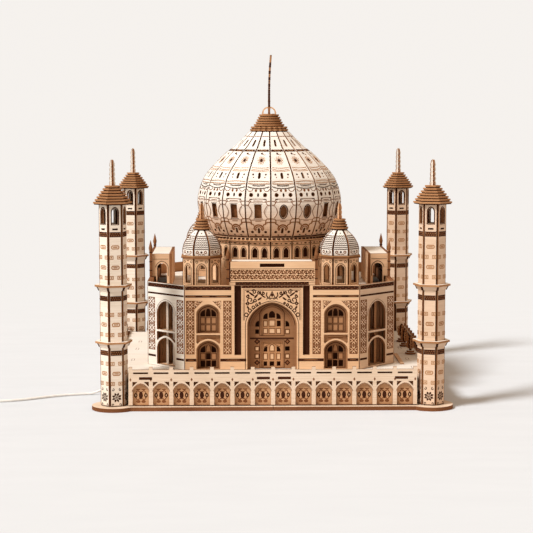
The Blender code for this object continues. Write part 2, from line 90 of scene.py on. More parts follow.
HOUSE_HALF = -low("facade_front").y
FACADE_HALF = high("facade_front").x + GAP
HOUSE_BOTTOM = low("facade_front").z
PARAPET_TOP = high("facade_front").z
BAY_X = 49.2
BAY_HALF = 9.2
CORNER_ARCH_HALF = 10.5
INNER_WALL = 66.0
PORTAL_HALF = 19.2
PORTAL_SPRING = 60.5
PORTAL_APEX = 78.1
SLOT_X = (23.8, 29.0)
SLOT_Z = (37.0, 90.4)
# A storey's arches: foot, spring and apex
LOWER_STOREY = (HOUSE_BOTTOM, 41.0, 48.4)
UPPER_STOREY = (53.5, 69.0, 76.6)
STOREYS = (UPPER_STOREY, LOWER_STOREY)
# Which panes of a window are filled, row by row from the top
UPPER_LIGHTS = ((0, 0, 0), (1, 1, 1), (1, 1, 1))
LOWER_LIGHTS = ((0, 1, 0), (1, 0, 1), (0, 0, 0))
BAYS = (-BAY_X, BAY_X)
BAND_Z = (87.5, 90.5)  # the burnt band under the parapet
ROSETTES_Z = tuple(75.9 - 6.98 * row for row in range(6))
ATTIC_HALF = 33.0
ATTIC_TOP = 109.5
ATTIC_DEPTH = 18.0
PINNACLE_TOP = high("portal_attic_front").z
ROOF_TOP = high("roof_deck").z
ROOF_HALF = high("roof_deck").x

KIOSK_OFFSET = 54.7
KIOSK_RADIUS = 16.45
KIOSK_SILL = 89.4
KIOSK_TOP = high("chhatri_front_left_kiosk").z
KIOSK_FINIAL_TOP = high("chhatri_front_left_dome").z

GORES = 18
DRUM_RADIUS = 50.5
DRUM_TOP = high("drum").z
CROWN_BOTTOM = low("dome_crown").z
CROWN_LAYERS = (15.7, 15.0, 12.6, 11.1, 10.2, 9.2, 8.1)
CROWN_TOP = high("dome_crown").z
SPIRE_TOP = high("spire").z

# Profiles of the domes as (height, radius)
KIOSK_DOME = (
    (111.3, 16.2), (113.6, 16.6), (117.0, 16.4), (120.5, 15.2), (124.0, 13.2), (127.0, 10.6), (129.4, 7.8),
    (130.7, 6.0),
)
DOME_POINTS = (
    (123.9, 51.0), (126.7, 52.9), (133.1, 56.0), (141.6, 58.7), (148.0, 59.9), (154.4, 59.6), (158.6, 58.8),
    (167.1, 56.1), (175.0, 51.0), (183.1, 43.4), (190.6, 35.6), (195.8, 28.1), (202.6, 21.3), (207.4, 16.7),
)
OVAL_GORES = (0, 1, 9, 10)  # the ones with a round window
# The heights between which a gore is flat
GORE_BANDS = (
    123.9, 126.6, 132.2, 139.0, 151.4, 156.0, 160.6, 170.4, 176.0, 182.0, 188.0, 191.6, 194.6, 202.2, 207.4,
)

CABLE = 2.0  # diameter
COIL_CENTRE = Vector((-252.0, -76.0))
COIL_RADII = (13.0, 11.0, 9.0)
COIL_LAYERS = 4
PLUG_X = -265.0
PLUG_REAR_Y = -56.0
PLUG_AXIS_Z = 3.8

SIDES = {"front": 0, "right": 90, "back": 180, "left": 270}
CORNERS = {"front_right": 0, "back_right": 90, "back_left": 180, "front_left": 270}


# ---------------------------------------------------------------- materials
WHITE = (1.0, 1.0, 1.0)
BACKDROP = (0.92, 0.885, 0.85, 1.0)


def ramp(nodes, links, value, stops):
    """A colour ramp fed by value."""
    node = nodes.new("ShaderNodeValToRGB")
    elements = node.color_ramp.elements
    while len(elements) < len(stops):
        elements.new(0.5)
    for element, (place, colour) in zip(elements, stops):
        element.position = place
        element.color = (*colour, 1.0)
    links.new(value, node.inputs["Fac"])
    return node.outputs["Color"]


def noise(nodes, links, vector, scale, detail):
    """Noise whose grain is stretched by the three numbers of scale."""
    mapping = nodes.new("ShaderNodeMapping")
    mapping.inputs["Scale"].default_value = scale
    links.new(vector, mapping.inputs["Vector"])
    node = nodes.new("ShaderNodeTexNoise")
    node.inputs["Scale"].default_value = 1.0
    node.inputs["Detail"].default_value = detail
    links.new(mapping.outputs["Vector"], node.inputs["Vector"])
    return node.outputs["Fac"]


def multiply(nodes, links, first, second, factor):
    node = nodes.new("ShaderNodeMix")
    node.data_type = "RGBA"
    node.blend_type = "MULTIPLY"
    node.inputs["Factor"].default_value = factor
    links.new(first, node.inputs["A"])
    links.new(second, node.inputs["B"])
    return node.outputs["Result"]


def smooth_step(nodes, links, value, start, end):
    """0 below start, 1 above end."""
    node = nodes.new("ShaderNodeMapRange")
    node.interpolation_type = "SMOOTHSTEP"
    node.inputs["From Min"].default_value, node.inputs["From Max"].default_value = start, end
    links.new(value, node.inputs["Value"])
    return node.outputs["Result"]


def new_material(name):
    """A material, its nodes, its links, its shader, and a place in metres."""
    material = bpy.data.materials.new(name)
    material.use_nodes = True
    nodes, links = material.node_tree.nodes, material.node_tree.links
    place = nodes.new("ShaderNodeTexCoord").outputs["Object"]
    return material, nodes, links, nodes["Principled BSDF"], place


def wood(name, dark, light, grain, roughness, painted_shade_tint=None):
    """Wood with fine fibres along the sheet, broad slow changes of tone and a little bump. Painted shade,
    when given, tints the wood below one height and leaves it clear above a second one; its third value is the
    tint."""
    material, nodes, links, shader, place = new_material(name)
    fibres = noise(nodes, links, place, grain, 5.0)
    clouds = noise(nodes, links, place, (26.0, 26.0, 30.0), 2.0)
    tone = ramp(nodes, links, clouds, ((0.3, dark), (0.7, light)))
    streaks = ramp(nodes, links, fibres, ((0.32, (0.80, 0.76, 0.71)), (0.62, WHITE)))
    colour = multiply(nodes, links, tone, streaks, 0.55)
    # Painted shade: the colour is tinted darker towards the bottom.
    if painted_shade_tint:
        low_end, high_end, tint = painted_shade_tint
        height = nodes.new("ShaderNodeSeparateXYZ")
        links.new(place, height.inputs["Vector"])
        rise = smooth_step(nodes, links, height.outputs["Z"], low_end, high_end)
        colour = multiply(nodes, links, colour, ramp(nodes, links, rise, ((0.0, tint), (1.0, WHITE))), 1.0)
    links.new(colour, shader.inputs["Base Color"])
    shader.inputs["Roughness"].default_value = roughness
    shader.inputs["Specular IOR Level"].default_value = 0.1
    bump = nodes.new("ShaderNodeBump")
    bump.inputs["Strength"].default_value = 0.15
    bump.inputs["Distance"].default_value = 0.0001
    links.new(fibres, bump.inputs["Height"])
    links.new(bump.outputs["Normal"], shader.inputs["Normal"])
    return material


def finish_material(name, dark, light, roughness, metallic=0.0, scale=900.0):
    """A moulded, painted or metal surface with a faint mottle."""
    material, nodes, links, shader, place = new_material(name)
    mottle = noise(nodes, links, place, (scale, scale, scale), 2.0)
    links.new(ramp(nodes, links, mottle, ((0.35, dark), (0.65, light))), shader.inputs["Base Color"])
    shader.inputs["Roughness"].default_value = roughness
    shader.inputs["Metallic"].default_value = metallic
    return material


FLAT_GRAIN = (60.0, 60.0, 1500.0)
FLOOR_GRAIN = (70.0, 1300.0, 70.0)
# Painted shade on the dome: its wood is tinted darker below 0.124 m and clear above 0.162 m, where the lower
# gores face away from the light.
DOME_SHADE_PAINT = (0.124, 0.162, (0.86, 0.60, 0.43))
WOODS = {
    "tan": ("ply_tan", (0.70, 0.43, 0.245), (0.79, 0.52, 0.315), FLAT_GRAIN, 0.6),
    "pale": ("ply_pale", (0.81, 0.69, 0.56), (0.88, 0.76, 0.64), FLAT_GRAIN, 0.6),
    "honey": ("ply_honey", (0.71, 0.535, 0.385), (0.78, 0.605, 0.455), FLAT_GRAIN, 0.6),
    "amber": ("ply_amber", (0.68, 0.48, 0.33), (0.75, 0.55, 0.40), FLAT_GRAIN, 0.6),
    "cream": ("ply_cream", (0.80, 0.73, 0.64), (0.87, 0.81, 0.73), FLAT_GRAIN, 0.6),
    "dome": ("ply_dome_shaded", (0.80, 0.73, 0.64), (0.87, 0.81, 0.73), FLAT_GRAIN, 0.6, DOME_SHADE_PAINT),
    "screen": ("ply_screen", (0.50, 0.26, 0.125), (0.62, 0.35, 0.18), FLAT_GRAIN, 0.65),
    "board": ("ply_board", (0.78, 0.70, 0.60), (0.86, 0.79, 0.70), FLOOR_GRAIN, 0.6),
    # The next three woods are darker browns for sheets set back in recesses and for faces inside the
    # building: their darkness is partly the wood's own tone and partly painted shade.
    "niche": ("ply_niche", (0.40, 0.19, 0.085), (0.50, 0.255, 0.12), FLAT_GRAIN, 0.65),
    "shaded_brown": ("ply_brown_in_shade", (0.24, 0.105, 0.045), (0.33, 0.16, 0.073), FLAT_GRAIN, 0.6),
    "inner": ("ply_inner", (0.20, 0.085, 0.034), (0.29, 0.135, 0.06), FLAT_GRAIN, 0.7),
    "layer": ("ply_layer", (0.33, 0.15, 0.062), (0.47, 0.24, 0.11), (300, 300, 1500), 0.7),
    # edge and ink are the burnt colours of cut edges and engraving; the same two also fill gaps, slots and
    # hollows with near black, and there they are painted shade.
    "edge": ("ply_burnt_edge", (0.17, 0.062, 0.022), (0.31, 0.135, 0.055), (300, 300, 900), 0.75),
    "ink": ("ply_engraved", (0.034, 0.009, 0.0035), (0.066, 0.020, 0.0075), (700, 700, 700), 0.85),
    "brown_ink": ("ply_engraved_light", (0.15, 0.052, 0.018), (0.25, 0.098, 0.040), (700, 700, 700), 0.8),
}
FINISHES = {
    "rubber": ("cable_white", (0.80, 0.77, 0.72), (0.88, 0.85, 0.80), 0.42, 0.0, 400.0),
    "plastic": ("plug_plastic", (0.78, 0.76, 0.73), (0.84, 0.82, 0.79), 0.35),
    "metal": ("plug_metal", (0.60, 0.60, 0.62), (0.74, 0.74, 0.76), 0.28, 1.0),
    "gold": ("plug_contact", (0.72, 0.50, 0.20), (0.82, 0.60, 0.28), 0.25, 1.0),
    "diffuser": ("lamp_diffuser", (0.86, 0.84, 0.76), (0.92, 0.90, 0.84), 0.3),
    "circuit": ("lamp_circuit", (0.70, 0.72, 0.70), (0.80, 0.82, 0.80), 0.4),
    "chip": ("lamp_chip", (0.80, 0.62, 0.16), (0.90, 0.72, 0.24), 0.3),
}
MATERIALS = {key: wood(*recipe) for key, recipe in WOODS.items()}
MATERIALS.update((key, finish_material(*recipe)) for key, recipe in FINISHES.items())


# ---------------------------------------------------------------- pieces
def turn_z(degrees):
    return Matrix.Rotation(math.radians(degrees), 4, "Z")


def panel(degrees):
    """A wall's frame: local x along it, local y up, local z out from the centre."""
    return turn_z(degrees) @ Matrix.Rotation(math.radians(90), 4, "X")


def shift(x, y, z=0.0):
    return Matrix.Translation((x, y, z))


def signed_area(loop):
    return sum(a[0] * b[1] - b[0] * a[1] for a, b in zip(loop, [*loop[1:], loop[0]])) / 2


class Piece:
    """One visible piece, gathered as closed shells that each have a material."""

    def __init__(self, name, slot, *nodes):
        self.name, self.slot, self.nodes = name, slot, nodes
        self.points, self.faces, self.materials = [], [], []
        self.at(Matrix.Identity(4))

    def at(self, matrix):
        """Puts what follows in this frame."""
        self.place = lambda x, y, z: matrix @ Vector((x, y, z))
        return self

    def bent(self, place):
        """Puts what follows on a surface: place turns local x, y, z into a point."""
        self.place = place
        return self

    def add(self, points, faces, materials):
        start = len(self.points)
        self.points += [self.place(*point) for point in points]
        self.faces += [[start + i for i in face] for face in faces]
        self.materials += materials

    def plate(self, outline, bottom, top, holes=(), face="tan", edge="edge", back=None, joins=()):
        """A sheet from local z bottom to top, with cut-outs. An edge whose ends are both at a height in
        joins gets no wall, because the next sheet goes on from it."""
        loops = [outline if signed_area(outline) > 0 else outline[::-1]]
        loops += [hole if signed_area(hole) < 0 else hole[::-1] for hole in holes]
        flat = [point for loop in loops for point in loop]
        count = len(flat)
        points = [(x, y, bottom) for x, y in flat] + [(x, y, top) for x, y in flat]
        faces, materials = [], []
        for a, b, c in tessellate_polygon([[Vector((x, y, 0)) for x, y in loop] for loop in loops]):
            if signed_area((flat[a], flat[b], flat[c])) < 0:
                a, c = c, a
            faces += [(c, b, a), (a + count, b + count, c + count)]
            materials += [back or face, face]
        start = 0
        for loop in loops:
            for i in range(len(loop)):
                a, b = start + i, start + (i + 1) % len(loop)
                if any(abs(flat[a][1] - y) < 1e-6 and abs(flat[b][1] - y) < 1e-6 for y in joins):
                    continue
                faces.append((a, b, b + count, a + count))
                materials.append(edge)
            start += len(loop)
        self.add(points, faces, materials)

    def block(self, outline, bottom, top, material):
        """A sheet without cut-outs, of one material all over."""
        self.plate(outline, bottom, top, (), material, material)

    def mark(self, outline, out=0.0, material="ink", depth=SINK):
        """A flat engraved spot with a convex outline, on the sheet whose face is at local z out."""
        loop = outline if signed_area(outline) > 0 else outline[::-1]
        n = len(loop)
        points = [(x, y, out - depth) for x, y in loop] + [(x, y, out + INK) for x, y in loop]
        faces = [tuple(range(n))[::-1], tuple(range(n, 2 * n))]
        faces += [(i, (i + 1) % n, (i + 1) % n + n, i + n) for i in range(n)]
        self.add(points, faces, [material] * len(faces))

    def dot(self, x, y, rx, ry, steps, out=0.0, material="ink", lean=0.0):
        """An engraved ellipse with so many corners."""
        self.mark(ellipse(x, y, rx, ry, steps, lean), out, material)

    def loop(self, path, width, out=0.0, material="ink"):
        """An engraved line that ends where it starts."""
        self.line(path, width, out, material, closed=True)

    def line(self, path, width, out=0.0, material="ink", closed=False):
        """An engraved line along a path, as a thin closed ribbon."""
        n = len(path)
        points = []
        for i, (x, y) in enumerate(path):
            before = path[i - 1] if closed or i else path[0]
            after = path[(i + 1) % n] if closed or i < n - 1 else path[-1]
            dx, dy = after[0] - before[0], after[1] - before[1]
            length = math.hypot(dx, dy) or 1.0
            sx, sy = -dy / length * width * LINE_WEIGHT / 2, dx / length * width * LINE_WEIGHT / 2
            points += [(x + sx, y + sy, out + INK), (x - sx, y - sy, out + INK)]
            points += [(x - sx, y - sy, out - SINK), (x + sx, y + sy, out - SINK)]
        faces = []
        for i in range(n if closed else n - 1):
            a, b = 4 * i, 4 * ((i + 1) % n)
            faces += [(a + j, a + (j + 1) % 4, b + (j + 1) % 4, b + j) for j in range(4)]
        if not closed:
            faces += [(3, 2, 1, 0), (4 * n - 4, 4 * n - 3, 4 * n - 2, 4 * n - 1)]
        self.add(points, faces, [material] * len(faces))

    def turned(self, profile, sides, phase=0.0, material="tan", ring=False):
        """A solid of revolution about local Z. A ring's profile is a closed loop off the axis."""
        n = len(profile)
        if not ring:
            profile = [(max(r, 1e-4), z) for r, z in profile]
        turns = [math.radians(phase) + 2 * math.pi * k / sides for k in range(sides)]
        points = [(r * math.cos(a), r * math.sin(a), z) for a in turns for r, z in profile]
        faces = []
        for k in range(sides):
            a, b = n * k, n * ((k + 1) % sides)
            for i in range(n if ring else n - 1):
                j = (i + 1) % n
                faces.append((a + i, b + i, b + j, a + j))
        if not ring:
            faces += [[n * k for k in range(sides)][::-1], [n * k + n - 1 for k in range(sides)]]
        self.add(points, faces, [material] * len(faces))

    def finish(self, smooth=False):
        mesh = bpy.data.meshes.new(self.name)
        mesh.from_pydata([point * 0.001 for point in self.points], [], self.faces)
        used = list(dict.fromkeys(self.materials))
        for key in used:
            mesh.materials.append(MATERIALS[key])
        index = {key: i for i, key in enumerate(used)}
        mesh.polygons.foreach_set("material_index", [index[key] for key in self.materials])
        mesh.validate()
        if smooth:
            mesh.shade_smooth()
            mesh.set_sharp_from_angle(angle=math.radians(SMOOTH_BELOW))
        obj = bpy.data.objects.new(self.name, mesh)
        bpy.context.scene.collection.objects.link(obj)
        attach(obj, "root")
        if self.nodes:
            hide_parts(*self.nodes)
        return obj


# ---------------------------------------------------------------- outlines
def rectangle(x0, y0, x1, y1):
    return [(x0, y0), (x1, y0), (x1, y1), (x0, y1)]


def beside(hand, x0, y0, x1, y1):
    """A rectangle, mirrored to the left for hand -1."""
    left, right = sorted((hand * x0, hand * x1))
    return rectangle(left, y0, right, y1)


def disc(radius, bottom, top):
    """The profile of a flat disc."""
    return [(0.0, bottom), (radius, bottom), (radius, top), (0.0, top)]


def collar(inside, outside, bottom, top):
    """The profile of a flat ring."""
    return [(inside, bottom), (outside, bottom), (outside, top), (inside, top)]


def symmetric(right, top):
    """An outline from its right half and the height of its tip."""
    return [*right, (0.0, top), *[(-x, z) for x, z in right[::-1]]]


def ellipse(x, y, rx, ry, steps=12, lean=0.0):
    """An ellipse leaning by so many degrees."""
    c, s = math.cos(math.radians(lean)), math.sin(math.radians(lean))
    around = [2 * math.pi * i / steps for i in range(steps)]
    flat = [(rx * math.cos(a), ry * math.sin(a)) for a in around]
    return [(x + u * c - v * s, y + u * s + v * c) for u, v in flat]


def arch_line(centre, half, spring, apex, steps=8, point=0.55):
    """The curve of an arch, right to left. A point near 1 makes it a plain pointed arch."""
    path = []
    for i in range(2 * steps + 1):
        across = math.cos(math.pi * i / (2 * steps))
        rise = (1 - abs(across) ** 1.7) ** point
        path.append((centre + half * across, spring + (apex - spring) * rise))
    return path


def arch(centre, half, bottom, spring, apex, steps=8, point=0.55):
    top = arch_line(centre, half, spring, apex, steps, point)
    return [(centre - half, bottom), (centre + half, bottom), *top]


def keel(centre, half, bottom, spring, apex, steps=8):
    """An arch whose sides sweep up into a sharp point."""
    path = [(centre - half, bottom), (centre + half, bottom)]
    for i in range(2 * steps + 1):
        across = math.cos(math.pi * i / (2 * steps))
        round_part = math.sqrt(max(0.0, 1 - across**2))
        rise = 0.78 * round_part + 0.22 * (1 - abs(across)) ** 0.8
        path.append((centre + half * across, spring + (apex - spring) * rise))
    return path


def brick(x, y, half_x, half_y, corner=0.7):
    """A rectangle with cut corners."""
    a, b = half_x - corner, half_y - corner
    return [
        (x - half_x, y - b), (x - a, y - half_y), (x + a, y - half_y), (x + half_x, y - b),
        (x + half_x, y + b), (x + a, y + half_y), (x - a, y + half_y), (x - half_x, y + b),
    ]


def swirl(x, y, radius, turns, start, hand=1, steps=9):
    """A scroll that winds in from radius."""
    path = []
    for i in range(steps + 1):
        t = i / steps
        a = math.radians(start) + hand * 2 * math.pi * turns * t
        path.append((x + radius * (1 - 0.75 * t) * math.cos(a), y + radius * (1 - 0.75 * t) * math.sin(a)))
    return path


def flower(piece, x, y, radius, petals, out, material="ink", core=0.0):
    """Leaf-shaped petals round a point, with a dot in the middle if core is its radius."""
    for k in range(petals):
        turn = 360 * k / petals + 180 / petals
        a = math.radians(turn)
        middle = (x + 0.66 * radius * math.cos(a), y + 0.66 * radius * math.sin(a))
        piece.dot(*middle, 0.32 * radius, 0.17 * radius, 6, out, material, turn)
    if core:
        piece.dot(x, y, core, core, 8, out, material)


# ---------------------------------------------------------------- camera, light and floor
def make_camera():
    """Stands in front of the object, a little to the left, and looks slightly down and to the right."""
    data = bpy.data.cameras.new("camera")
    data.sensor_width = 36.0
    data.lens = 102.89
    camera = bpy.data.objects.new("camera", data)
    camera.location = (-0.0303, -1.260, 0.2248)
    camera.rotation_euler = (math.pi / 2 - 0.10211, 0.0, -0.02235)
    bpy.context.scene.collection.objects.link(camera)
    bpy.context.scene.camera = camera


def make_light():
    """A broad key from the upper left, and a dim surround that is paler from the left than from the right.
    The camera sees an even, pale backdrop instead of that surround."""
    sun = bpy.data.lights.new("key", "SUN")
    sun.energy = 3.7
    sun.angle = math.radians(14)
    sun.color = (0.97, 0.985, 1.0)
    key = bpy.data.objects.new("key", sun)
    key.rotation_euler = Vector((0.60, 0.42, -0.80)).to_track_quat("-Z", "Y").to_euler()
    bpy.context.scene.collection.objects.link(key)
    world = bpy.data.worlds.new("studio")
    world.use_nodes = True
    nodes, links = world.node_tree.nodes, world.node_tree.links
    lighting = nodes["Background"]
    way = nodes.new("ShaderNodeSeparateXYZ")
    links.new(nodes.new("ShaderNodeTexCoord").outputs["Generated"], way.inputs["Vector"])
    sides = ramp(nodes, links, way.outputs["X"], ((0.0, (1.0, 0.86, 0.73)), (0.6, (1.0, 0.70, 0.46))))
    links.new(sides, lighting.inputs["Color"])
    lighting.inputs["Strength"].default_value = 0.62
    seen = nodes.new("ShaderNodeBackground")
    seen.inputs["Color"].default_value = BACKDROP
    switch = nodes.new("ShaderNodeMixShader")
    links.new(nodes.new("ShaderNodeLightPath").outputs["Is Camera Ray"], switch.inputs["Fac"])
    links.new(lighting.outputs["Background"], switch.inputs[1])
    links.new(seen.outputs["Background"], switch.inputs[2])
    links.new(switch.outputs["Shader"], nodes["World Output"].inputs["Surface"])
    bpy.context.scene.world = world
    bpy.context.scene.view_settings.view_transform = "Standard"


def make_floor():
    """A wide pale floor that takes soft shadows near the object and fades into the backdrop further out."""
    material, nodes, links, near, place = new_material("floor")
    paper = noise(nodes, links, place, (14.0, 60.0, 14.0), 3.0)
    shade = ramp(nodes, links, paper, ((0.3, (0.625, 0.645, 0.665)), (0.7, (0.645, 0.665, 0.685))))
    links.new(shade, near.inputs["Base Color"])
    near.inputs["Roughness"].default_value = 0.9
    near.inputs["Specular IOR Level"].default_value = 0.0
    far = nodes.new("ShaderNodeEmission")
    far.inputs["Color"].default_value = BACKDROP
    distance = nodes.new("ShaderNodeVectorMath")
    distance.operation = "LENGTH"
    links.new(place, distance.inputs[0])
    switch = nodes.new("ShaderNodeMixShader")
    links.new(smooth_step(nodes, links, distance.outputs["Value"], 0.26, 0.75), switch.inputs["Fac"])
    links.new(near.outputs["BSDF"], switch.inputs[1])
    links.new(far.outputs["Emission"], switch.inputs[2])
    links.new(switch.outputs["Shader"], nodes["Material Output"].inputs["Surface"])
    mesh = bpy.data.meshes.new("floor")
    radius, sides = 60, 48
    turns = [math.tau * i / sides for i in range(sides)]
    mesh.from_pydata([(radius * math.cos(a), radius * math.sin(a), 0.0) for a in turns], [], [range(sides)])
    mesh.materials.append(material)
    floor = bpy.data.objects.new("floor", mesh)
    bpy.context.scene.collection.objects.link(floor)


# ---------------------------------------------------------------- cable and plug
def cable_route():
    """Out of the wall's notch, along the floor, round the coil from its front, and over to the plug."""
    start = -WALL_OUTER + 1.2
    out = [(start, CABLE_NOTCH_Y, 4.8), (-131.0, -62.0, 4.7), (-136.5, -62.4, 3.0), (-142.0, -63.2, 1.3)]
    floor = [(-148.5, -64.5), (-158.0, -67.4), (-167.4, -71.2), (-176.4, -76.4), (-185.6, -82.4)]
    floor += [(-197.0, -89.0), (-209.6, -93.3), (-222.0, -93.9), (-233.0, -91.9), (-241.2, -88.9)]
    route = out + [(x, y, 1.1) for x, y in floor]
    radii = [r for layer in range(COIL_LAYERS) for r in (COIL_RADII if layer % 2 == 0 else COIL_RADII[::-1])]
    heights = [1.1 + 1.95 * (i // len(COIL_RADII)) for i in range(len(radii))]
    radii.append(COIL_RADII[0])
    heights.append(heights[-1])
    steps, turns = 24, len(radii) - 1
    for i in range(int((turns + 0.25) * steps) + 1):
        turn = i / steps
        k = min(int(turn), turns - 1)
        ease = max(0.0, (turn - k) * 4 - 3)  # a turn keeps its radius for three quarters of its way
        r = radii[k] + (radii[k + 1] - radii[k]) * ease
        z = heights[k] + (heights[k + 1] - heights[k]) * ease
        a = -math.pi / 2 - 2 * math.pi * turn
        route.append((COIL_CENTRE.x + r * math.cos(a), COIL_CENTRE.y + r * math.sin(a), z))
    route += [(PLUG_X, -72.0, 6.7), (PLUG_X, -68.0, 5.9), (PLUG_X, -64.0, 4.8), (PLUG_X, -60.0, 4.0)]
    return [*route, (PLUG_X, PLUG_REAR_Y + 1.0, PLUG_AXIS_Z)]


def make_cable(plug):
    curve = bpy.data.curves.new("usb_cable", "CURVE")
    curve.dimensions = "3D"
    curve.bevel_depth = CABLE / 2000
    curve.bevel_resolution = 3
    curve.use_fill_caps = True
    curve.resolution_u = 4
    route = cable_route()
    spline = curve.splines.new("BEZIER")
    spline.bezier_points.add(len(route) - 1)
    for point, place in zip(spline.bezier_points, route):
        point.co = Vector(place) / 1000
        point.handle_left_type = point.handle_right_type = "AUTO"
    curve.materials.append(MATERIALS["rubber"])
    cable = bpy.data.objects.new("usb_cable", curve)
    bpy.context.scene.collection.objects.link(cable)
    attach(cable, "root")
    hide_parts("cable_lead", "cable_coil")


def make_plug():
    """A moulded grip with side ridges, a strain relief in rings, and a metal shell with its tongue inside."""
    plug = Piece("usb_plug_detailed", "plug", "usb_plug")
    plug.at(shift(PLUG_X, PLUG_REAR_Y))
    for i in range(4):
        y = 0.3 + 1.5 * i
        half, tall = 2.0 + 0.35 * i, 2.0 + 0.3 * i
        plug.block(brick(0, y + 0.45, half, 0.45, 0.2), PLUG_AXIS_Z - tall, PLUG_AXIS_Z + tall, "plastic")
    plug.block(brick(0, 3.0, 1.7, 3.0, 0.3), 2.0, 5.6, "plastic")
    right = [(4.2, 6.0), (6.6, 9.5), (6.6, 25.2), (5.8, 26.0)]
    body = [(-4.2, 6.0), *right, *[(-x, y) for x, y in right[:0:-1]]]
    inner = [(x * 0.92, 6.3 + (y - 6.0) * 0.97) for x, y in body]
    plug.block(body, 0.9, 6.7, "plastic")
    plug.block(inner, 0.15, 7.45, "plastic")
    for x in (-6.5, 6.5):
        for i in range(5):
            plug.block(rectangle(x - 0.25, 11 + 2.2 * i, x + 0.25, 12 + 2.2 * i), 1.6, 6.0, "plastic")
    plug.at(shift(PLUG_X, PLUG_REAR_Y) @ Matrix.Rotation(math.radians(-90), 4, "X"))
    outer, hole = (brick(0, -PLUG_AXIS_Z, 6.0 - wall, 2.25 - wall, 0.4) for wall in (0.0, 0.3))
    plug.plate(outer, 25.5, 41.0, (hole,), "metal", "metal")
    plug.block(rectangle(-5.6, -3.9, 5.6, -2.1), 26.0, 40.2, "circuit")
    for x in (-3.5, -1.0, 1.0, 3.5):
        plug.block(rectangle(x - 0.6, -4.05, x + 0.6, -3.9), 30.0, 40.0, "gold")
    return plug.finish()


# ---------------------------------------------------------------- terrace
def make_base():
    """Two flat half plates with a seam between them and a round pad under each tower."""
    reach = BASE_HALF - TOWER_OFFSET
    away = math.degrees(math.asin(reach / PAD_RADIUS))
    for name, hand in (("left", -1), ("right", 1)):
        outline = [(hand * GAP / 2, -BASE_HALF)]
        for side in (-1, 1):
            first, last = (-away, away - 270) if side < 0 else (270 - away, away)
            for i in range(25):
                a = math.radians(first + (last - first) * i / 24)
                x = -TOWER_OFFSET + PAD_RADIUS * math.cos(a)
                outline.append((-hand * x, side * TOWER_OFFSET + PAD_RADIUS * math.sin(a)))
        outline.append((hand * GAP / 2, BASE_HALF))
        plate = Piece(f"base_{name}", "ply_outer", f"base_plate_{name}")
        plate.plate(outline, 0.0, BASE_TOP, (), "honey", "brown_ink")
        plate.finish()


def fence_bay_marks(wall, centre, out):
    """The engraving inside one arch: a dark oval, a ring of smaller ones and the lines between them."""
    middle = 11.0
    wall.dot(centre, middle, 1.55, 2.8, 12, out)
    for side in (-1, 1):
        x = centre + side * 3.8
        wall.loop(ellipse(x, middle, 0.85, 1.35, 10), 0.6, out)
        wall.dot(x, middle, 0.45, 0.8, 8, out, "tan")
        for y, lift in ((16.0, 1), (6.3, -1)):
            halfway = (y + middle) / 2
            wall.dot(centre + side * 2.0, y, 1.7, 1.15, 10, out, "brown_ink")
            arm = [(1.5, y + (middle - y) * 0.3), (3.0, halfway + 0.8 * lift), (3.8, middle + 1.6 * lift)]
            stalk = [(0.3, y + (middle - y) * 0.42), (1.8, halfway + 0.3 * lift)]
            for path in (arm, stalk):
                wall.line([(centre + side * u, v) for u, v in path], 0.45, out, "brown_ink")


def make_terrace_wall(side, degrees):
    """A pierced outer sheet with posts and a rail over an engraved inner sheet, and dark fillers behind its
    rail slots and triangles.
    """
    wall = Piece(f"fence_{side}", "ply_light", f"terrace_wall_{side}").at(panel(degrees))
    out, bottom = WALL_OUTER, BASE_TOP + GAP
    outline = [(-WALL_HALF, bottom), (WALL_HALF, bottom)]
    for i in range(ARCH_COUNT + 1):
        x = ARCH_PITCH * (ARCH_COUNT / 2 - i)
        right, left = min(x + 1.4, WALL_HALF), max(x - 1.4, -WALL_HALF)
        outline += [(right, RAIL_TOP), (right, POST_TOP), (left, POST_TOP), (left, RAIL_TOP)]
    centres = [ARCH_PITCH * (i + 0.5 - ARCH_COUNT / 2) for i in range(ARCH_COUNT)]
    holes = []
    for centre in centres:
        holes.append(arch(centre, 6.1, bottom + 0.5, FENCE_SPRING, 20.0, 6, 0.6))
        holes.append(rectangle(centre - 5.6, 27.5, centre + 5.6, 28.8))
        for hand in (-1, 1):
            edge, inner = centre + hand * 6.15, centre + hand * 2.3
            holes.append([(edge, 21.6), (edge, 17.9), (inner, 21.6)])
    # Painted light: paler wood on the object's left side, darker elsewhere.
    face = lit_side_tone(side, "pale", "honey")
    wall.plate(outline, out - PLY + 0.1, out, holes, face)
    wall.plate(rectangle(-WALL_HALF, bottom, WALL_HALF, 26.0), out - 2 * PLY, out - PLY, (), "screen")
    for centre in centres:
        # Dark fillers behind the rail slots and the triangles.
        wall.block(rectangle(centre - 6.0, 27.1, centre + 6.0, 29.1), out - PLY - 0.3, out - PLY, "ink")
        wall.mark(rectangle(centre - 6.6, 17.0, centre + 6.6, 22.0), out - PLY, "edge", 0.05)
        wall.mark(arch(centre, 6.2, 16.0, 16.5, 20.4, 6, 0.6), out - PLY + 0.02, "screen", 0.05)
        wall.line(arch_line(centre, 6.4, FENCE_SPRING, 20.3, 6, 0.6), 0.22, out, "brown_ink")
        fence_bay_marks(wall, centre, out - PLY)
    for x in (-96.0, -7.3, 8.5, 97.0):
        wall.mark(rectangle(x - 4.9, 23.2, x + 4.9, 25.2), out)
    for i in range(ARCH_COUNT + 1):
        x = max(-WALL_HALF + 1.2, min(WALL_HALF - 1.2, ARCH_PITCH * (ARCH_COUNT / 2 - i)))
        wall.mark([(x, 21.9), (x + 0.8, 23.2), (x, 24.5), (x - 0.8, 23.2)], out, "brown_ink")
    wall.mark(rectangle(-WALL_HALF + 0.2, bottom, WALL_HALF - 0.2, bottom + 0.45), out)
    if side == "left":
        wall.mark(arch(-CABLE_NOTCH_Y, 1.7, bottom, 6.2, 7.6, 5), out - PLY + 0.04)
    wall.finish()


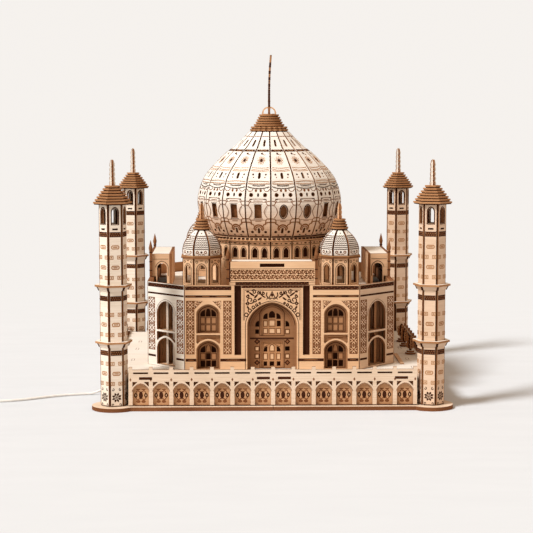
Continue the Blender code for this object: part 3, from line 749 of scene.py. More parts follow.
def make_decks():
    """Two deck plates with a seam between them and scored slots, and a thin strip lying on the front one."""
    bottom, top, wide, notch = DECK_TOP - PLY, DECK_TOP, DECK_HALF, DECK_NOTCH
    front = [(-notch, -wide), (notch, -wide), (notch, -notch), (wide, -notch)]
    front += [(wide, DECK_SEAM - GAP / 2), (-wide, DECK_SEAM - GAP / 2), (-wide, -notch), (-notch, -notch)]
    back = [(-wide, DECK_SEAM + GAP / 2), (wide, DECK_SEAM + GAP / 2), (wide, notch), (notch, notch)]
    back += [(notch, wide), (-notch, wide), (-notch, notch), (-wide, notch)]
    lamp_hole = ellipse(0, 0, 12.5, 12.5, 32)
    for name, outline, holes, hand in (("front", front, (), -1), ("back", back, (lamp_hole,), 1)):
        deck = Piece(f"deck_{name}", "ply_light", f"terrace_deck_{name}")
        deck.plate(outline, bottom, top, holes, "board")
        for x in (-110.5, 110.5):
            for i in range(2):
                y = DECK_SEAM + hand * (28 + 40 * i)
                deck.loop(rectangle(x - 1.1, y - 4.5, x + 1.1, y + 4.5), 0.2, top, "brown_ink")
        if name == "front":
            deck.plate(rectangle(101.8, -73.0, 104.9, -23.0), top, top + 0.7, (), "tan", "layer")
        deck.finish()


# ---------------------------------------------------------------- towers
def tower_face(shaft, face_half):
    """The engraving of one face of a tower, on its outside at local z 0."""
    low_end, inner = BASE_TOP + 0.4, face_half - 0.1
    for z in TOWER_BANDS:
        shaft.mark(rectangle(-inner, z - 1.9, inner, z + 1.9))
        for k in range(-2, 3):
            shaft.dot(1.7 * k, z + 0.65, 0.55, 0.4, 6, 0.03, "edge")
            shaft.dot(1.7 * k + 0.8, z - 0.75, 0.5, 0.4, 6, 0.03, "edge")
    for first, rows in BRICK_ROWS:
        for i in range(rows):
            z = first + 7.6 * i
            if i % 2:
                shaft.loop(brick(0, z, 2.7, 1.15, 0.5), 0.5, 0.0, "layer")
                shaft.mark(brick(0, z, 1.7, 0.4, 0.2), 0.0, "layer")
                continue
            for x in (1.3 - face_half, face_half - 1.3):
                half_brick = rectangle(x - 1.3, z - 1.15, x + 1.3, z + 1.15)
                shaft.loop(half_brick, 0.5, 0.0, "layer")
                shaft.mark(shrunk(half_brick, (x, z), 0.45), 0.0, "layer")
    for hand in (-1, 1):
        for z, start in ((16.0, 90), (4.7, 270)):
            shaft.line(swirl(hand * (face_half - 1.5), z, 1.1, 0.9, start, hand), 0.36)
    medallion = 10.1
    flower(shaft, 0, medallion, 3.9, 8, 0.0)
    flower(shaft, 0, medallion, 2.1, 8, 0.0, core=0.6)
    shaft.loop(ellipse(0, medallion, 2.5, 2.5, 16), 0.3)
    shaft.loop(arch(0, 2.75, 140.2, 149.5, 153.2, 5), 0.5)
    shaft.mark(rectangle(-inner, low_end, inner, low_end + 0.5))


def make_tower(corner, degrees):
    """A six-sided tower: wall panels round a near-black core, painted shade that shows in the gaps, two
    balconies and a roof.
    """
    home = turn_z(degrees) @ shift(TOWER_OFFSET, -TOWER_OFFSET)
    phase, bottom = -15.0, BASE_TOP + GAP
    apothem = TOWER_RADIUS * math.cos(math.radians(30))
    face_half = TOWER_RADIUS / 2 - 1.15
    core_radius = TOWER_RADIUS - 1.5
    shaft = Piece(f"tower_{corner}", "ply_outer", f"minaret_{corner}_shaft").at(home)
    # Painted shade: a near-black core that shows in the gaps between the panels and through the slots.
    shaft.turned(collar(core_radius - 2.0, core_radius, bottom, 138.6), 6, phase, "ink", ring=True)
    window = arch(0, 2.35, 140.6, 149.3, 152.6, 5)
    # Painted light: paler wood on the left towers, darker on the right ones.
    face = lit_side_tone(corner, "pale", "amber")
    for i in range(6):
        shaft.at(home @ panel(phase + 120 + 60 * i) @ shift(0, 0, apothem))
        outline = rectangle(-face_half, bottom, face_half, TOWER_TOP)
        shaft.plate(outline, -1.6, 0.0, (window, rectangle(-2.1, 136.2, 2.1, 137.5)), face)
        tower_face(shaft, face_half)
        # Painted shade: near-black strips fill the gaps above the core.
        shaft.at(home @ panel(phase + 60 * i))
        shaft.block(rectangle(core_radius - 1.4, 138.5, core_radius + 0.1, TOWER_TOP), -0.5, 0.5, "ink")
    shaft.finish()
    for level in ("lower", "upper"):
        make_balcony(corner, level, home, phase)
    make_tower_roof(corner, home, phase)


def lit_side_tone(name, left, right):
    """Painted light and shade: the sheets on the object's left get the paler of two woods and the others the
    darker one, as the light falls from the left.
    """
    return left if "left" in name else right


def hexagon(radius, phase):
    turns = [math.radians(phase + 60 * k) for k in range(6)]
    return [(radius * math.cos(a), radius * math.sin(a)) for a in turns]


def make_balcony(corner, level, home, phase):
    """A thin six-sided floor over a flared skirt with dark corners, painted shade that carries the tower's
    gaps down the skirt.
    """
    node = f"minaret_{corner}_{level}_balcony"
    top, bottom = high(node).z, low(node).z
    balcony = Piece(f"balcony_{corner}_{level}", "ply_light", node).at(home)
    inside, flare, ledge = TOWER_RADIUS + 0.15, 12.6, top - 1.55
    floor, hole = hexagon(14.2, phase), hexagon(inside, phase)
    balcony.plate(floor, top - 1.5, top, (hole,), "board", "layer", "brown_ink")
    slope = [(TOWER_RADIUS + 0.5, bottom), (TOWER_RADIUS + 1.0, bottom + 1.2)]
    slope += [(flare, top - 1.9), (flare, ledge)]
    skirt = [(inside, bottom), *slope, (inside, ledge)]
    # Painted light: the skirt is paler on the left towers, darker on the right ones.
    balcony.turned(skirt, 6, phase, lit_side_tone(corner, "pale", "amber"), ring=True)
    # Painted shade: dark blocks at the skirt's corners carry on the tower's gaps.
    burnt = [(TOWER_RADIUS - 0.3, bottom), *[(r + 0.12, z) for r, z in slope], (TOWER_RADIUS - 0.3, ledge)]
    for k in range(6):
        balcony.at(home @ panel(phase + 60 * k))
        balcony.block(burnt, -0.8, 0.8, "ink")
    balcony.finish()


def make_tower_roof(corner, home, phase):
    """A stack of six-sided sheets with near-black fillers between them as painted shade, and a finial of two
    crossed plates.
    The back finials stand taller than their nodes and the front ones end a little below theirs."""
    node = f"minaret_{corner}_roof"
    roof = Piece(f"tower_roof_{corner}", "ply_outer", node).at(home)
    start, gap = low(node).z, 0.8
    for i, radius in enumerate(ROOF_LAYERS):
        z = start + PLY * i
        roof.plate(hexagon(radius, phase), z + gap, z + PLY, (), "screen", "layer", back="brown_ink")
        # Painted shade: a near-black filler under each sheet.
        roof.block(hexagon(radius - 0.7, phase), z, z + gap, "ink")
    peak = start + PLY * len(ROOF_LAYERS)
    taller = 1.8 if "back" in corner else -0.6
    outline = scalloped(peak - 0.2, TOWER_FINIAL_TOP + taller, 5, 2.3)
    for angle in (12, 102):
        roof.at(home @ panel(angle))
        roof.plate(outline, -0.8, 0.8, (), "cream")
    roof.finish()


def scalloped(bottom, top, count, wide):
    """The outline of a slim leaf with round bulges up its sides and a round tip."""
    right = []
    pitch = (top - bottom - wide) / count
    for k in range(count):
        size = wide * (1 - 0.04 * k)
        for part, swell in ((0.0, 0.78), (0.25, 0.95), (0.5, 1.0), (0.75, 0.94)):
            right.append((size * swell, bottom + pitch * (k + part)))
    tip = top - wide
    size = wide * (1 - 0.04 * count) * 0.82
    for i in range(5):
        a = math.pi / 2 * i / 5
        right.append((size * math.cos(a), tip + wide * math.sin(a)))
    return symmetric(right, top)


def beaded(bottom, top, beads, thin, wide):
    """The outline of a stick that swells into beads and ends in a point."""
    right = []
    pitch = (top - bottom) * 0.8 / beads
    for k in range(beads):
        z = bottom + pitch * k
        size = wide * (1 - 0.45 * k / beads)
        right += [(thin, z), (thin * 1.1, z + 0.22 * pitch), (size * 0.8, z + 0.36 * pitch)]
        right += [(size, z + 0.55 * pitch), (size * 0.8, z + 0.74 * pitch), (thin * 1.1, z + 0.88 * pitch)]
    right += [(thin, bottom + pitch * beads), (thin * 0.7, top - 0.8)]
    return symmetric(right, top)


# ---------------------------------------------------------------- main building
def quarter(x, y, wide, tall, hand):
    """A pane with one round shoulder, on its left for hand -1 or its right for hand 1."""
    square_side, foot = x - hand * wide / 2, y - tall / 2
    path = [(square_side, foot), (x + hand * wide / 2, foot)]
    for i in range(6):
        a = math.pi / 2 * i / 5
        path.append((square_side + hand * wide * math.cos(a), foot + tall * (0.25 + 0.75 * math.sin(a))))
    return path


def window_panes(x, y, wide, tall, apex, gap, lights):
    """Three rows of three panes inside an arch: outlines of the dark ones, then of the filled ones.

    lights says for each row, from the top, which of the three columns are filled."""
    column = (2 * wide - 4 * gap) / 3
    row = (tall - 4 * gap) / 3
    dark, filled = [], []
    for r in range(3):
        for c in (-1, 0, 1):
            px = x + c * (column + gap)
            py = y + tall - gap - row / 2 - r * (row + gap)
            if r == 0 and c:
                pane = quarter(px, py, column, row, c)
            elif r == 0:
                pane = arch(px, column / 2, py - row / 2, py, py + row / 2 + apex, 4, 0.7)
            else:
                pane = rectangle(px - column / 2, py - row / 2, px + column / 2, py + row / 2)
            (filled if lights[r][c + 1] else dark).append(pane)
    return dark, filled


def shrunk(loop, centre, factor):
    return [(centre[0] + (x - centre[0]) * factor, centre[1] + (y - centre[1]) * factor) for x, y in loop]


def centre_of(loop):
    return sum(x for x, _ in loop) / len(loop), sum(y for _, y in loop) / len(loop)


def draw_panes(piece, filled, out, face="tan"):
    """Filled panes: a scored outline round a lighter middle."""
    for pane in filled:
        piece.loop(pane, 0.26, out)
        piece.mark(shrunk(pane, centre_of(pane), 0.72), out - 0.02, face)


def rosette_block(piece, x, y, out, half_x=2.9, half_y=3.1):
    """A square of engraved leaves round a flower."""
    tone = "brown_ink"
    piece.loop(rectangle(x - half_x, y - half_y, x + half_x, y + half_y), 0.5, out, tone)
    flower(piece, x, y, 2.8, 4, out, tone, 0.9)
    for sx in (-1, 1):
        for sy in (-1, 1):
            corner = (x + sx * (half_x - 0.95), y + sy * (half_y - 0.95))
            piece.loop(ellipse(*corner, 0.55, 0.55, 7), 0.42, out, tone)
    for sx, sy in ((1, 0), (-1, 0), (0, 1), (0, -1)):
        piece.dot(x + sx * (half_x - 0.7), y + sy * (half_y - 0.7), 0.7, 0.7, 6, out, tone)


def scroll_band(piece, x0, x1, y, half, out, pitch):
    """A band of linked scrolls with leaves between them."""
    count = max(1, round((x1 - x0) / pitch))
    step = (x1 - x0) / count
    for k in range(count):
        x = x0 + step * (k + 0.5)
        hand = 1 if k % 2 else -1
        piece.line(swirl(x, y, half * 0.82, 1.1, 90 * hand, hand, 10), 0.5, out, "brown_ink")
        between = swirl(x + step / 2, y - hand * half * 0.45, half * 0.42, 0.9, -90 * hand, -hand, 6)
        piece.line(between, 0.42, out, "brown_ink")
        piece.dot(x + step / 2, y + hand * half * 0.55, 0.9, 0.55, 6, out, "brown_ink", 35 * hand)
        piece.dot(x - step * 0.28, y - hand * half * 0.72, 0.75, 0.42, 6, out, lean=-30 * hand)


def dark_band(piece, x0, x1, y0, y1, out):
    """A burnt band with rows of small bare beads."""
    piece.mark(rectangle(x0, y0, x1, y1), out)
    middle, height = (y0 + y1) / 2, y1 - y0
    count = int((x1 - x0) / 2.1)
    for k in range(count):
        x = x0 + (x1 - x0) * (k + 0.5) / count
        piece.dot(x, middle + 0.2 * height * (-1) ** k, 0.5, 0.3, 6, out + 0.04, "edge")


def floor_slot(x, half, foot, top, rim):
    """The slot between two storeys, whose lower edge follows the arch under it."""
    inside = [point for point in rim if abs(point[0] - x) < half]
    return [(x - half, foot), (x - half, top), (x + half, top), (x + half, foot), *inside]


def facade_openings():
    """The cut-outs of a facade's outer sheet, apart from the portal."""
    holes = [beside(hand, SLOT_X[0], SLOT_Z[0], SLOT_X[1], SLOT_Z[1]) for hand in (1, -1)]
    _, spring, apex = LOWER_STOREY
    for x in BAYS:
        holes.append(arch(x, BAY_HALF, UPPER_STOREY[0] + 0.5, *UPPER_STOREY[1:]))
        holes.append(arch(x, BAY_HALF, LOWER_STOREY[0] + 0.6, spring, apex))
        rim = arch_line(x, BAY_HALF + 1.2, spring + 0.6, apex + 1.3, 10)
        holes.append(floor_slot(x, BAY_HALF, 46.8, 52.7, rim))
    return holes


def facade_engraving(wall, out):
    edge = FACADE_HALF - GAP
    for hand in (-1, 1):
        inner = hand * (SLOT_X[1] + 2.4)
        x0, x1 = sorted((inner, hand * (edge - 0.3)))
        dark_band(wall, x0, x1, *BAND_Z, out)
        wall.mark(rectangle(x0, 81.7, x1, 83.5), out)
        for reach, half in ((7.0, 5.0), (19.5, 3.2), (31.0, 4.0)):
            wall.dot(inner + hand * reach, 82.6, half, 0.4, 8, out + 0.03, "edge")
        for z in ROSETTES_Z:
            rosette_block(wall, hand * 34.4, z, out)
            rosette_block(wall, hand * 63.0, z, out)
        for x, reach in ((hand * 42.1, -1), (hand * 57.1, 1)):
            spandrel(wall, x, 76.3, hand * reach, out)
        for x0, x1 in ((20.0, 39.9), (58.5, edge - 0.4)):
            wall.mark(beside(hand, x0, 32.0, x1, 34.2), out)
            wall.dot(hand * (x0 + x1) / 2, 33.1, (x1 - x0) * 0.3, 0.4, 8, out + 0.03, "edge")
    portal_engraving(wall, out)


def spandrel(wall, x, y, hand, out):
    """A triangle of leaves beside the top of an arch; hand is the side that it is widest on."""
    wide = [(x - hand * 3.4, y + 2.7), (x + hand * 2.7, y + 2.7), (x + hand * 2.7, y - 3.4)]
    wall.loop(wide, 0.45, out, "brown_ink")
    wall.line(swirl(x + hand * 0.9, y + 0.8, 1.4, 1.0, 90, hand), 0.5, out, "brown_ink")
    wall.dot(x - hand * 1.4, y + 1.8, 1.0, 0.45, 6, out)
    wall.dot(x + hand * 1.9, y - 1.5, 0.45, 1.0, 6, out)


def portal_engraving(wall, out):
    """A framed field of leaves and scrolls over the arch, a crowning motif, and rings along the arch."""
    # This burnt band is engraving and, partly, painted shadow under the attic.
    dark_band(wall, -SLOT_X[0] + 0.2, SLOT_X[0] - 0.2, 89.0, PARAPET_TOP - 0.1, out)
    for hand in (-1, 1):
        wall.mark(beside(hand, SLOT_X[0], SLOT_Z[1] - 0.1, SLOT_X[1], PARAPET_TOP - 0.1), out)
    for frame_half, top in ((22.2, 88.2), (21.2, 87.2)):
        wall.line([(-frame_half, 64.0), (-frame_half, top), (frame_half, top), (frame_half, 64.0)], 0.26, out)
    rim = arch_line(0, PORTAL_HALF + 1.4, PORTAL_SPRING, PORTAL_APEX + 0.9, 12)
    wall.line([(PORTAL_HALF + 1.4, HOUSE_BOTTOM), *rim, (-PORTAL_HALF - 1.4, HOUSE_BOTTOM)], 0.3, out)
    leaves = ((15.6, 84.2, 2.8, 35), (12.4, 82.6, 2.2, -50), (9.6, 80.6, 2.1, -35))
    leaves += ((18.7, 86.2, 1.3, 0), (18.6, 74.0, 1.3, 60))
    rings = ((19.9, 68.3, 1.4), (17.2, 71.6, 1.25), (14.4, 74.1, 1.05), (11.9, 76.0, 0.8), (9.6, 77.4, 0.6))
    scrolls = ((16.8, 79.6, 2.9, 200), (13.9, 86.0, 1.8, 20), (10.2, 85.6, 1.6, 140), (18.9, 82.6, 1.4, 90))
    scrolls += ((13.0, 79.0, 1.6, 300), (7.0, 84.8, 1.3, 60), (19.0, 76.6, 1.3, 0))
    for hand in (-1, 1):
        for x, z, r in rings:
            wall.loop(ellipse(hand * x, z, r, r, 10), 0.5, out)
        for x, z, r, lean in leaves:
            wall.dot(hand * x, z, r, 0.75, 8, out, lean=lean * hand)
        for x, z, r, start in scrolls:
            wall.line(swirl(hand * x, z, r, 1.2, start if hand > 0 else 180 - start, hand, 12), 0.52, out)
        wall.line([(hand * 5.2, 81.6), (hand * 7.4, 82.9), (hand * 10.2, 86.0)], 0.62, out)
        wall.line([(hand * 2.6, 80.8), (hand * 4.4, 83.2), (hand * 4.0, 85.6)], 0.6, out)
    wall.loop([(-2.4, 81.2), (0.0, 86.4), (2.4, 81.2)], 0.75, out)
    wall.mark([(0.0, 85.4), (-1.1, 83.2), (0.0, 82.0), (1.1, 83.2)], out)
    for x in (-3.0, 0.0, 3.0):
        wall.line(arch_line(x, 1.2, 80.1, 81.3, 3), 0.34, out)


def make_facade(side, degrees):
    """One long wall: an outer sheet, stepped arches behind it, and window screens behind those."""
    wall = Piece(f"front_{side}", "ply_outer", f"facade_{side}").at(panel(degrees))
    out, edge = HOUSE_HALF, FACADE_HALF - GAP
    outer = arched_sheet(edge, PORTAL_HALF, PORTAL_SPRING, PORTAL_APEX, PARAPET_TOP)
    wall.plate(outer, out - PLY, out, facade_openings())
    facade_engraving(wall, out)
    under_roof = ROOF_TOP - PLY - 0.1
    # The two stepped sheets are darker browns: partly their own tone, partly painted shade in the recess.
    steps = (
        (out - 3.5, out - PLY - 0.02, 0.9, 0.5, "niche", PARAPET_TOP),
        (out - 5.0, out - 3.52, 2.6, 3.9, "shaded_brown", under_roof),
    )
    for bottom, top, inset, drop, face, height in steps:
        holes = []
        for x in BAYS:
            for base, spring, apex in STOREYS:
                holes.append(keel(x, BAY_HALF - inset, base + 0.7, spring - drop * 0.4, apex - drop, 8))
        half, spring = PORTAL_HALF - inset * 0.75, PORTAL_SPRING - inset * 0.5
        sheet = arched_sheet(edge - 0.2, half, spring, PORTAL_APEX - inset * 0.9, height)
        wall.plate(sheet, bottom, top, holes, face)
    for x in BAYS:
        for base, spring, apex in STOREYS:
            wall.loop(keel(x, BAY_HALF - 1.8, base + 0.9, spring - 1.0, apex - 2.2, 8), 0.32, out - 3.52)
        wall.loop(rectangle(x - 5.8, 49.9, x + 5.8, 52.0), 0.34, out - PLY - 0.02, "edge")
    wall.line(arch_line(0, 17.8, PORTAL_SPRING - 1.0, PORTAL_APEX - 1.7, 12), 0.3, out - 3.52)
    # Painted shade: near-black fillers behind the two tall slots.
    for hand in (-1, 1):
        wall.mark(beside(hand, SLOT_X[0] + 0.02, SLOT_Z[0], SLOT_X[1] - 0.02, SLOT_Z[1]), out - PLY - 0.02)
    screens(wall, out - 5.1)
    wall.finish()


def arched_sheet(edge, half, spring, apex, height):
    """The outline of a facade-sized sheet with the portal's arch cut up from its lower edge."""
    outline = [(-edge, HOUSE_BOTTOM), (-half, HOUSE_BOTTOM), *arch_line(0, half, spring, apex, 12)[::-1]]
    return [*outline, (half, HOUSE_BOTTOM), (edge, HOUSE_BOTTOM), (edge, height), (-edge, height)]


def screens(wall, top):
    """The window screens of the four niches, with a near-black sheet behind them as painted shade."""
    for x in BAYS:
        for (base, _, apex), lights in zip(STOREYS, (UPPER_LIGHTS, LOWER_LIGHTS)):
            dark, filled = window_panes(x, base + 0.8, 6.7, apex - base - 5.2, 1.6, 0.6, lights)
            wall.plate(rectangle(x - 9.5, base, x + 9.5, apex + 1.5), top - 1.2, top, dark, "shaded_brown")
            draw_panes(wall, filled, top, "niche")
            # Painted shade: a near-black sheet stands behind each screen.
            liner = rectangle(x - 9.6, base, x + 9.6, apex + 1.6)
            wall.plate(liner, top - 4.0, top - 3.0, (), "ink", "inner")


def make_portal_screen(side, degrees):
    """The portal's tall screen: side panes, a framed window with a pointed head, and a door below it."""
    screen = Piece(f"portal_window_{side}", "ply_inner", f"portal_screen_{side}").at(panel(degrees))
    top, centre = HOUSE_HALF - 5.3, 0.1
    inset = top - 1.4  # the face of the sheet with the panes
    dark = [quarter(-5.0, 66.3, 3.4, 4.6, -1), quarter(5.2, 66.3, 3.4, 4.6, 1)]
    dark += [rectangle(3.8, 58.3, 6.8, 62.8), arch(centre, 2.4, 65.0, 68.0, 70.4, 4, 0.7)]
    dark += [quarter(-5.0, 40.6, 2.9, 4.2, -1), quarter(5.2, 40.6, 2.9, 4.2, 1)]
    dark += [rectangle(x0, 27.3, x1, 30.9) for x0, x1 in ((-6.4, -3.7), (-1.7, 1.8), (3.8, 6.7))]
    filled = [rectangle(x0, 52.7, x1, 56.7) for x0, x1 in ((-6.6, -3.4), (3.6, 6.8), (-2.3, 2.5))]
    filled += [rectangle(-6.4, 58.3, -3.6, 62.8), rectangle(-2.3, 58.3, 2.5, 63.4)]
    filled += [arch(centre, 1.8, 38.5, 42.0, 44.2, 4, 0.7)]
    filled += [rectangle(x - 1.5, 32.3, x + 1.5, 37.2) for x in (-5.0, centre, 5.2)]
    # The screen's sheets are darker browns, partly their tone and partly painted shade in the portal.
    screen.plate(rectangle(-9.5, HOUSE_BOTTOM, 9.5, 76.0), top - 2.6, inset, dark, "niche")
    draw_panes(screen, filled, inset)
    for hand in (-1, 1):
        triangle = [(centre + hand * 1.0, 45.0), (centre + hand * 6.8, 45.3), (centre + hand * 6.4, 42.0)]
        screen.loop(triangle, 0.3, inset)
    whole = rectangle(-18.5, HOUSE_BOTTOM, 18.5, 77.5)
    holes = [keel(centre, 8.4, 51.2, 66.6, 73.6), rectangle(-8.3, HOUSE_BOTTOM + 0.5, 8.5, 47.2)]
    holes += [quarter(-11.4, 60.6, 3.0, 4.6, -1), rectangle(-12.9, 52.6, -10.0, 56.2)]
    holes += [quarter(12.0, 60.6, 3.0, 4.6, 1), brick(12.0, 41.1, 1.8, 1.8, 0.3)]
    screen.plate(whole, top - 1.3, top, holes, "shaded_brown")
    for x, z in ((-11.5, 46.7), (12.0, 46.7), (-11.5, 30.2), (12.0, 30.2)):
        big, small = ([(x, z + r), (x - r, z), (x, z - r), (x + r, z)] for r in (2.3, 1.0))
        screen.mark(big, top)
        screen.mark(small, top + 0.04, "brown_ink")
    for x, z in ((-11.5, 41.1), (-11.5, 35.2), (12.0, 35.2), (12.0, 54.4)):
        pane = brick(x, z, 1.7, 1.8, 0.2)
        screen.loop(pane, 0.26, top)
        screen.mark(shrunk(pane, (x, z), 0.6), top, "tan")
    screen.loop(keel(centre, 9.6, 51.3, 67.6, 75.6, 10), 0.34, top)
    screen.loop(rectangle(-9.4, HOUSE_BOTTOM + 0.6, 9.6, 47.9), 0.34, top)
    screen.mark(rectangle(-17.0, 48.5, 17.0, 49.8), top)
    for half, apex in ((16.3, 75.0), (15.2, 73.6)):
        screen.line(arch_line(centre, half, 58.6, apex, 12), 0.28, top, "edge")
    # Painted shade: a near-black sheet behind the screen.
    screen.plate(whole, top - 5.0, top - 4.0, (), "ink", "inner")
    screen.finish()


def make_attic(side, degrees):
    """The hollow block over a portal, with an engraved front, arched openings in its ends and two pinnacles.
    It stands on the roof, behind the facade's parapet."""
    attic = Piece(f"attic_{side}", "ply_outer", f"portal_attic_{side}").at(panel(degrees))
    out, bottom, foot = HOUSE_HALF, PARAPET_TOP + GAP, ROOF_TOP + GAP
    back, lip = HOUSE_HALF - ATTIC_DEPTH, 93.8
    slot = rectangle(-9.4, 105.2, 9.4, 107.9)
    front = rectangle(-ATTIC_HALF, lip, ATTIC_HALF, ATTIC_TOP)
    # Painted shade: the inside face of the front is the dark inner wood, and a near-black block fills the
    # space behind the slot.
    attic.plate(front, out - PLY, out, (slot,), "tan", "edge", "inner")
    attic.block(rectangle(-10.0, 104.8, 10.0, 108.4), out - PLY - 0.6, out - PLY - 0.02, "ink")
    attic.plate(rectangle(-ATTIC_HALF, bottom, ATTIC_HALF, lip - 0.02), out - PLY, out - 0.5)
    # This burnt band is engraving and, partly, painted shadow under the attic's overhanging front.
    dark_band(attic, -28.2, 28.2, bottom + 0.05, lip - 0.1, out - 0.5)
    scroll_band(attic, -32.0, 32.0, 101.3, 1.9, out, 3.1)
    scroll_band(attic, -32.0, 32.0, 97.5, 1.9, out, 3.2)
    for z in (95.0, 103.8):
        attic.line([(-32.2, z), (32.2, z)], 0.25, out)
    attic.mark(rectangle(-ATTIC_HALF, lip, -ATTIC_HALF + 1.0, ATTIC_TOP), out)
    rear = rectangle(-ATTIC_HALF, foot, ATTIC_HALF, ATTIC_TOP)
    # Painted shade: the rear sheet's inside face is the dark inner wood.
    attic.plate(rear, back, back + PLY, (), "inner", "edge", "tan")
    roof = turn_z(degrees)
    attic.at(roof)
    lid = rectangle(-ATTIC_HALF + 2.1, -out + PLY + 0.1, ATTIC_HALF - 2.1, -back - PLY - 0.1)
    # Painted shade: the lid's underside is the dark inner wood.
    attic.plate(lid, ATTIC_TOP - PLY, ATTIC_TOP - 0.1, (), "board", "edge", "inner")
    middle = out - PLY - (ATTIC_DEPTH - PLY) / 2
    near, far, behind = middle - out + PLY + 0.05, middle - back - PLY - 0.05, middle - out + 5.2
    ridge = ATTIC_TOP - 0.15
    sheet = [(behind, foot), (far, foot), (far, ridge), (near, ridge), (near, bottom), (behind, bottom)]
    for hand in (-1, 1):
        attic.at(roof @ shift(hand * (ATTIC_HALF - 1.0), -middle) @ panel(90))
        attic.plate(sheet, -0.9, 0.9, (arch(0, 3.9, foot + 1.7, 98.5, 102.0, 6),))
        face = 0.9 if hand > 0 else -0.95
        attic.line(arch_line(0, 5.0, 98.5, 103.6, 6), 0.3, face)
        attic.line([(5.0, 98.5), (5.0, bottom)], 0.3, face)
        attic.line([(near + 0.7, 105.2), (far - 0.7, 105.2)], 0.2, face)
        pinnacle(attic, roof @ shift(hand * (ATTIC_HALF + 1.0), -out + 1.0), bottom)
    attic.finish()


def pinnacle(attic, home, bottom):
    """A slim square post with bands, a cap and a flame-shaped head."""
    attic.at(home)
    cap = ATTIC_TOP + 1.0
    attic.turned(disc(1.4, bottom, cap), 4, 45, "edge")
    for z in (96.0, 103.0, cap):
        attic.turned(disc(1.7, z, z + 0.7), 4, 45, "ink")
    flame = [(0.0, cap), (1.0, cap + 0.7), (1.6, cap + 3.6), (0.9, cap + 7.0), (0.0, PINNACLE_TOP)]
    attic.turned(flame, 8, 0, "edge")


def corner_frame(degrees):
    """A cut-off corner's frame, whose local z 0 is its outer face."""
    distance = (HOUSE_HALF + FACADE_HALF) / math.sqrt(2)
    return panel(degrees + 45) @ shift(0, 0, distance)


def corner_engraving(wall, half):
    """Rosette columns beside the arches, with the facade's bands carried across."""
    dark_band(wall, -half + 0.4, half - 0.4, *BAND_Z, 0.0)
    wall.mark(rectangle(-half + 0.4, 81.9, half - 0.4, 83.3))
    for hand in (-1, 1):
        wall.mark(beside(hand, CORNER_ARCH_HALF + 1.3, 32.3, half - 0.4, 33.9))
        for z in ROSETTES_Z:
            rosette_block(wall, hand * 16.2, z, 0.0, 3.5)
        rim = arch_line(0, CORNER_ARCH_HALF + 1.0, 66.5, UPPER_STOREY[2] + 1.8, 10, 0.5)
        wall.line(rim, 0.2, 0.0, "brown_ink")


def make_corner_wall(corner, degrees):
    """A wall across a corner, open in two storeys, with two inner walls and their windows behind it."""
    wall = Piece(f"corner_{corner}", "ply_light", f"corner_wall_{corner}")
    wall.at(corner_frame(degrees))
    half = (HOUSE_HALF - FACADE_HALF) / math.sqrt(2) - 0.5
    foot, spring, apex = LOWER_STOREY
    lower = arch(0, CORNER_ARCH_HALF, foot + 1.2, spring - 1.5, apex, 10, 0.5)
    upper = arch(0, CORNER_ARCH_HALF, UPPER_STOREY[0] + 0.8, 66.5, UPPER_STOREY[2] + 0.6, 10, 0.5)
    rim = arch_line(0, CORNER_ARCH_HALF + 1.3, spring - 0.8, apex + 1.5, 10, 0.5)
    between = floor_slot(0, CORNER_ARCH_HALF, 46.0, 52.8, rim)
    outline = rectangle(-half, HOUSE_BOTTOM, half, PARAPET_TOP)
    # Painted light: paler wood on the left corners, darker on the right ones.
    face = lit_side_tone(corner, "cream", "amber")
    # The wall's back is the darker niche wood, painted shade inside the corner.
    wall.plate(outline, -PLY, 0.0, (lower, upper, between), face, "edge", "niche")
    corner_engraving(wall, half)
    for hand, turn in ((1, 0), (-1, 90)):
        wall.at(panel(degrees + turn))
        # Painted light and shade: the rib is pale on the left corners and the dark niche wood on the right
        # ones.
        inner_wall(wall, hand, lit_side_tone(corner, "pale", "niche"))
    wall.at(turn_z(degrees))
    near, far = INNER_WALL + 0.6, 92.0
    room = [(near, -near), (near, -far), (far - 23.0, -far), (far, -far + 23.0), (far, -near)]
    # The floors' undersides are the darker niche wood, painted shade under them.
    for z in (HOUSE_BOTTOM + 0.1, 52.7, ROOF_TOP - 3.2):
        wall.plate(room, z, z + 0.9, (), "tan", "edge", "niche")
    wall.finish()


def inner_wall(wall, hand, rib_face):
    """A wall set back behind a corner's arches, with a window on each storey and a rib beside it. It runs
    from the building's inner corner to a facade, on the right of its own centre line for hand 1."""
    centre, near, far = hand * 74.0, INNER_WALL + 0.1, 91.8
    for (base, _, apex), lights in zip(STOREYS, (UPPER_LIGHTS, LOWER_LIGHTS)):
        top = 52.6 if base < 50 else ROOF_TOP - 3.3
        dark, filled = window_panes(centre, base + 1.0, 5.0, apex - base - 6.0, 1.4, 0.7, lights)
        # The walls are the darker niche wood: partly its own tone, partly painted shade in the alcove.
        wall.plate(beside(hand, near, base + 0.2, far, top), INNER_WALL - 1.2, INNER_WALL, dark, "niche")
        draw_panes(wall, filled, INNER_WALL)
        wall.loop(keel(centre, 6.0, base + 0.5, apex - 9.0, apex - 2.5, 6), 0.4, INNER_WALL, "tan")
    # Painted shade: a near-black sheet behind the windows.
    liner = beside(hand, near, HOUSE_BOTTOM + 0.2, far, ROOF_TOP - 3.3)
    wall.plate(liner, INNER_WALL - 4.0, INNER_WALL - 3.0, (), "ink", "inner")
    # The second upright is the dark inner wood, painted shade at the back of the alcove.
    for x, depth, face in ((81.5, 11.0, rib_face), (86.8, 4.8, "inner")):
        upright = rectangle(hand * x - 0.8, HOUSE_BOTTOM + 1.2, hand * x + 0.8, ROOF_TOP - 3.4)
        wall.block(upright, INNER_WALL + 0.05, INNER_WALL + depth, face)


